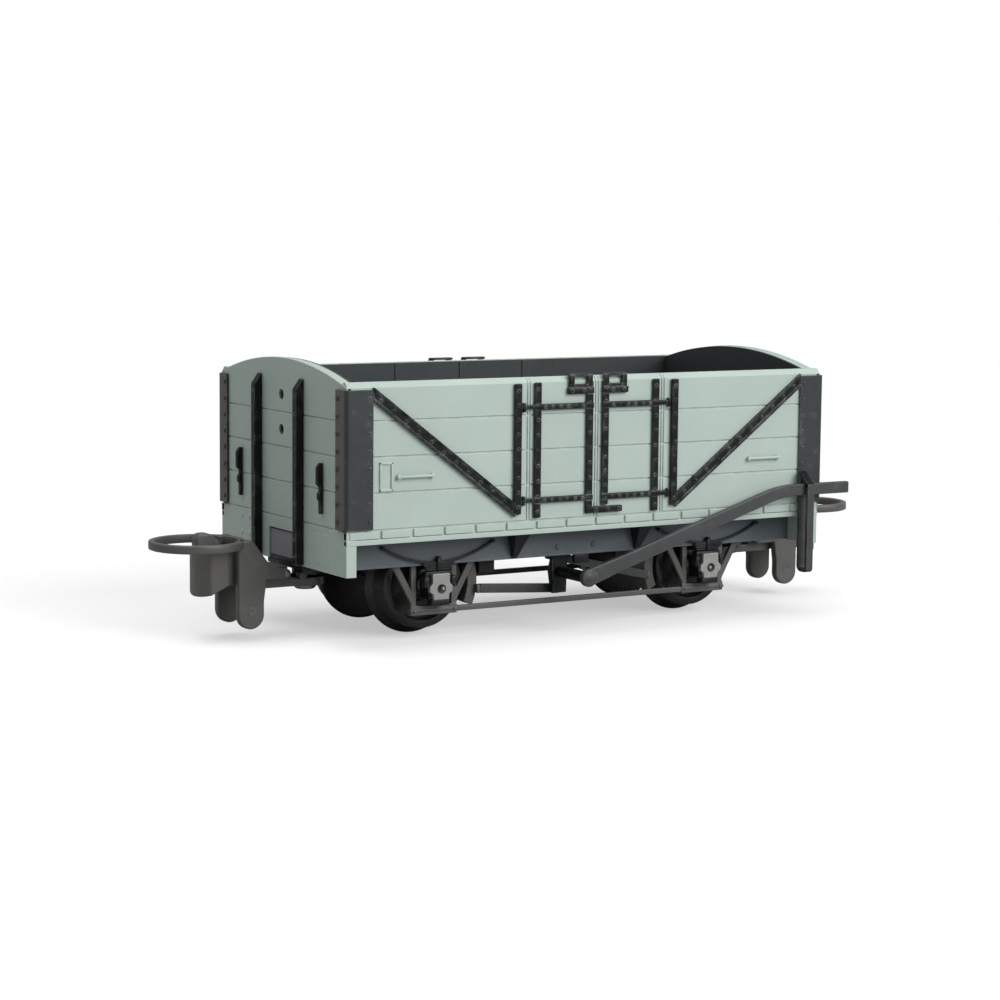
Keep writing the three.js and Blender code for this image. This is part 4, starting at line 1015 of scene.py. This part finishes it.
def coupler_loop():
    """The flat ring with two side plates, each ending in a rounded drop weight."""
    e = extent("coupler_loop_front")
    pin = extent("coupler_pin_front")
    outer, band, bottom, top = 3.6, 0.46, 6.46, e.z1
    inner = outer - band
    section = [(inner, bottom), (outer, bottom), (outer, top), (inner, top)]
    parts = [lathe(section, "z", (e.x1 - outer, 0, 0), 96, 0.1)]
    leg_x, leg, tail = 25.03, 1.06, 0.4
    outline = [
        (leg_x + leg, top),
        (leg_x - 0.1, top),
        (24, 5.85),
        (23.3, pin.z + tail + 0.18),
        *arc((pin.x, pin.z), tail, 81, 270, 10),
        (23.75, pin.z - tail + 0.08),
        (leg_x - leg, 2.4),
        *arc((leg_x, e.z0 + leg), leg, 180, 360, 16),
    ]
    plate_inside, plate_outside = 1.5, 2.22
    for way in (1, -1):
        sides = sorted((way * plate_inside, way * plate_outside))
        parts.append(slab(outline, "y", *sides, 0.14))
    mark = [(0.2, 0.02), (0.2, -0.03), (0.28, -0.03), (0.28, 0.02)]
    parts.append(lathe(mark, "y", (leg_x, -plate_outside, 1.75), 24))
    return parts


def pivot_screw():
    """The screw that the coupler swings on, with its head below."""
    e = extent("coupler_screw_front")
    head, shank, head_top, tip = 0.85, 0.5, 3.24, 5.25
    profile = [
        (0, e.z0),
        (head - 0.15, e.z0),
        (head, e.z0 + 0.12),
        (head, head_top),
        (shank, head_top),
        (shank, tip),
        (0, tip),
    ]
    return [lathe(profile, "z", (e.x, 0, 0), 32)]


def build_couplers():
    at_ends("coupler_body", coupler_body(), GEAR, "coupler")
    at_ends("coupler_loop", coupler_loop(), GEAR, "loop")
    pin = extent("coupler_pin_front")
    cross_pin = rod((pin.z1 - pin.z0) / 2, "y", (pin.x, 0, pin.z), pin.y0, pin.y1, 0.05)
    at_ends("coupler_pin", [cross_pin], STEEL, "coupler")
    mesh = mesh_of("screw", pivot_screw())
    for end, x in ENDS.items():
        piece(f"fine_coupler_screw_{end}", mirrored(mesh, x, 1), STEEL, "wagon", [f"coupler_screw_{end}"])


# ------------------------------------------------------------------ brake gear
def brake_lever():
    """The hand lever: a round boss, a sloping arm, a bend and a level grip."""
    e = extent("brake_lever")
    x, z = extent("brake_shaft").x, BRAKE_SHAFT_HEIGHT
    slope, bend, grip, taper_x = math.radians(17.6), 9.0, 9.7, 3.2
    drop = bend * (1 - math.cos(slope))
    start = x + (grip - drop - z) / math.tan(slope)
    finish = start + bend * math.sin(slope)
    line = [(x, z, 0.66), (x + taper_x, z + taper_x * math.tan(slope), 0.55)]
    steps = 8
    for k in range(steps + 1):
        angle = slope * (1 - k / steps)
        half = 0.5 - 0.04 * k / steps
        line.append((finish - bend * math.sin(angle), grip - bend * (1 - math.cos(angle)), half))
    line.append((e.x1, grip, 0.46))
    return [
        slab(ribbon(line), "y", e.y0, e.y1, 0.09),
        rod(0.68, "y", (x, 0, z), e.y0 - 0.04, e.y1 - 0.02, 0.1, 40),
        rod(0.34, "y", (x, 0, z), e.y0 - 0.1, e.y0 + 0.1, 0.04, 32),
    ]


def brake_shaft():
    """The cross shaft with its double crank."""
    e = extent("brake_shaft")
    z, tip_half, crank_sides = BRAKE_SHAFT_HEIGHT, 0.34, (-7.08, -6.68)
    crank = ribbon([(e.x, e.z0, tip_half), (e.x, z, 0.62), (e.x, e.z1, tip_half)])
    return [
        rod(BRAKE_SHAFT_RADIUS, "y", (e.x, 0, z), e.y0, e.y1, 0.05, 32),
        slab(crank, "y", *crank_sides, 0.07),
    ]


def brake_hanger():
    """The tapered plate that carries the cross shaft."""
    e = extent("brake_hanger")
    outline = [(e.x0 + 0.18, e.z0), (e.x1 - 0.18, e.z0), (e.x1, e.z1), (e.x0, e.z1)]
    return [slab(outline, "y", e.y0, e.y1, 0.07)]


def push_rod(end):
    """A sloping push rod, from corner to corner of the box of its CAD node. Both slope down to the front."""
    e = extent(f"push_rod_{end}")
    half = 0.34
    line = [(e.x0, e.z1 - half, half), (e.x1, e.z0 + half, half)]
    return [slab(ribbon(line), "y", e.y0, e.y1, 0.07)]


def brake_block(end):
    """A shoe that follows the tread, with a pad on its back for the push rod."""
    e = extent(f"brake_block_{end}")
    x, way = extent(f"axle_{end}").x, ENDS[end]
    inner, outer, low, high = AXLE_HEIGHT + 0.36, AXLE_HEIGHT + 1.18, -24, 20.6
    curve = arc((0, 0), outer, low, high, 10) + arc((0, 0), inner, high, low, 10)
    outline = [(x - way * a, AXLE_HEIGHT + b) for a, b in curve]
    back = sorted((x - way * (outer - 0.25), x - way * (outer + 0.02)))
    return [slab(outline, "y", e.y0 + 0.5, e.y1, 0.06), block(*back, e.y0, e.y0 + 0.8, 2.51, 3.19, 0.06)]


def guide_strap(path):
    """A bent strap along a path of y and z, as wide as the guide."""
    e = extent("lever_guide")
    return slab(ribbon([(y, z, 0.15) for y, z in path]), "x", e.x0, e.x1, 0.06)


def lever_guide():
    """The bent strap that the lever works in, open in the middle."""
    e = extent("lever_guide")
    outer, inner, low = e.y0 + 0.15, e.y1 - 0.15, e.z0 + 0.15
    corner = arc((inner - 0.35, low + 0.35), 0.35, 0, -90, 6)
    foot = arc((outer + 0.2, low + 0.2), 0.2, 270, 180, 5)
    return [guide_strap([(inner, e.z1 - 0.3), *corner, *foot, (outer, 10.1)])]


def guide_top():
    """The sloping top of the guide, bolted to the corner of the body."""
    e = extent("lever_guide")
    outer, inner = e.y0 + 0.16, e.y1 - 0.16
    bolt = rivet(e.x, inner - 0.16, 10.85, "y", way=-1, radius=0.18, height=0.1)
    return [guide_strap([(outer, 9.9), (outer, 10.05), (inner, 11.05)]), bolt]


def build_brakes():
    piece("fine_brake_lever", mesh_of("lever", brake_lever()), LEVER, "lever", ["brake_lever"])
    piece("fine_brake_shaft", mesh_of("shaft", brake_shaft()), IRON, "lever", ["brake_shaft"])
    piece("fine_brake_hanger", mesh_of("hanger", brake_hanger()), IRON, "wagon", ["brake_hanger"])
    piece("fine_lever_guide", mesh_of("guide", lever_guide()), LEVER, "wagon", ["lever_guide"])
    piece("lever_guide_top", mesh_of("guide_top", guide_top()), IRON, "wagon", ["lever_guide"])
    for end in ENDS:
        body = f"brake_{end}"
        rods, shoe = mesh_of("push_rod", push_rod(end)), mesh_of("block", brake_block(end))
        piece(f"fine_push_rod_{end}", rods, LEVER, body, [f"push_rod_{end}"])
        piece(f"fine_brake_block_{end}", shoe, GEAR, body, [f"brake_block_{end}"])


def finish_carried_over():
    """The CAD nodes that stay in view get the same finishes as the pieces made here."""
    for node, (material, _) in {"inner_tub": TUB, "ballast_plate": STEEL}.items():
        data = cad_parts[node].data
        data.materials.clear()
        data.materials.append(material)


# ------------------------------------------------------------------ stage
def floor_material():
    """White and lit from within near the wagon, fading out so that the studio's white shows beyond it."""
    g = Graph("Pale floor")
    seen = g.node("ShaderNodeLightPath").outputs["Is Camera Ray"]
    grain = g.mix(g.remap(g.noise(60), 0.3, 0.7), (0.5, 0.5, 0.5, 1), (0.52, 0.52, 0.52, 1))
    g.put(g.shader.inputs["Base Color"], g.mix(seen, (0.42, 0.42, 0.42, 1), grain))
    g.put(g.shader.inputs["Emission Color"], (1, 1, 1, 1))
    g.put(g.shader.inputs["Emission Strength"], g.times(seen, FLOOR_GLOW))
    g.put(g.shader.inputs["Roughness"], 0.85)
    g.put(g.shader.inputs["Specular IOR Level"], 0.1)
    length = g.node("ShaderNodeVectorMath")
    length.operation = "LENGTH"
    g.put(length.inputs[0], g.node("ShaderNodeTexCoord").outputs["Object"])
    g.put(g.shader.inputs["Alpha"], g.remap(length.outputs["Value"], 0.09, 0.045))
    return g.material


def build_floor():
    """The floor just touches the wheel flanges."""
    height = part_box("wheel_front_left")[0].z
    mesh = bpy.data.meshes.new("floor")
    reach = FLOOR_HALF_SIZE
    corners = [
        (-reach, -reach, height),
        (reach, -reach, height),
        (reach, reach, height),
        (-reach, reach, height),
    ]
    mesh.from_pydata(corners, [], [(0, 1, 2, 3)])
    mesh.materials.append(floor_material())
    floor = bpy.data.objects.new("floor", mesh)
    bpy.context.scene.collection.objects.link(floor)


def build_world():
    """A white studio, dimmer as a light than as the background that the camera sees."""
    lit, shown = 0.36, 1.0
    world = bpy.data.worlds.new("Studio")
    bpy.context.scene.world = world
    world.use_nodes = True
    nodes, links = world.node_tree.nodes, world.node_tree.links
    background = nodes["Background"]
    seen = nodes.new("ShaderNodeLightPath").outputs["Is Camera Ray"]
    strength = nodes.new("ShaderNodeMapRange")
    links.new(seen, strength.inputs["Value"])
    strength.inputs["To Min"].default_value = lit
    strength.inputs["To Max"].default_value = shown
    links.new(strength.outputs["Result"], background.inputs["Strength"])
    background.inputs["Color"].default_value = (1, 1, 1, 1)


def add_light(name, place, size, power):
    """A round soft light that looks at the wagon."""
    data = bpy.data.lights.new(name, "AREA")
    data.shape, data.size, data.energy = "DISK", size, power
    lamp = bpy.data.objects.new(name, data)
    lamp.location = place
    lamp.rotation_mode = "QUATERNION"
    lamp.rotation_quaternion = (-Vector(place)).to_track_quat("-Z", "Y")
    bpy.context.scene.collection.objects.link(lamp)


def build_lights():
    add_light("key", (0.2, -0.42, 0.26), 0.42, 2.7)
    add_light("top", (-0.08, 0.05, 0.5), 0.5, 1.6)


def build_camera():
    """The camera, placed in millimetres above rail top, then turned, tipped down and rolled."""
    place = Vector((-105.495, -171.858, 31.995 + RAIL_HEIGHT)) * MM
    heading, drop, roll = (math.radians(v) for v in (-31.032, 6.617, 0.536))
    lens_over_sensor = 2.52483
    ahead = Vector((-math.sin(heading) * math.cos(drop), math.cos(heading) * math.cos(drop), -math.sin(drop)))
    right = ahead.cross(Vector((0, 0, 1))).normalized()
    up = right.cross(ahead)
    tilted_right = math.cos(roll) * right + math.sin(roll) * up
    tilted_up = -math.sin(roll) * right + math.cos(roll) * up
    turn = Matrix((tilted_right, tilted_up, -ahead)).transposed().to_4x4()
    data = bpy.data.cameras.new("camera")
    data.sensor_width = 36
    data.lens = lens_over_sensor * data.sensor_width
    data.clip_start, data.clip_end = 0.005, 20
    camera = bpy.data.objects.new("camera", data)
    camera.matrix_world = Matrix.Translation(place) @ turn
    bpy.context.scene.collection.objects.link(camera)
    bpy.context.scene.camera = camera
    bpy.context.scene.view_settings.view_transform = "Standard"


build_body()
build_tub()
build_ironwork()
build_underframe()
build_wheelsets()
build_couplers()
build_brakes()
finish_carried_over()
build_floor()
build_world()
build_lights()
build_camera()
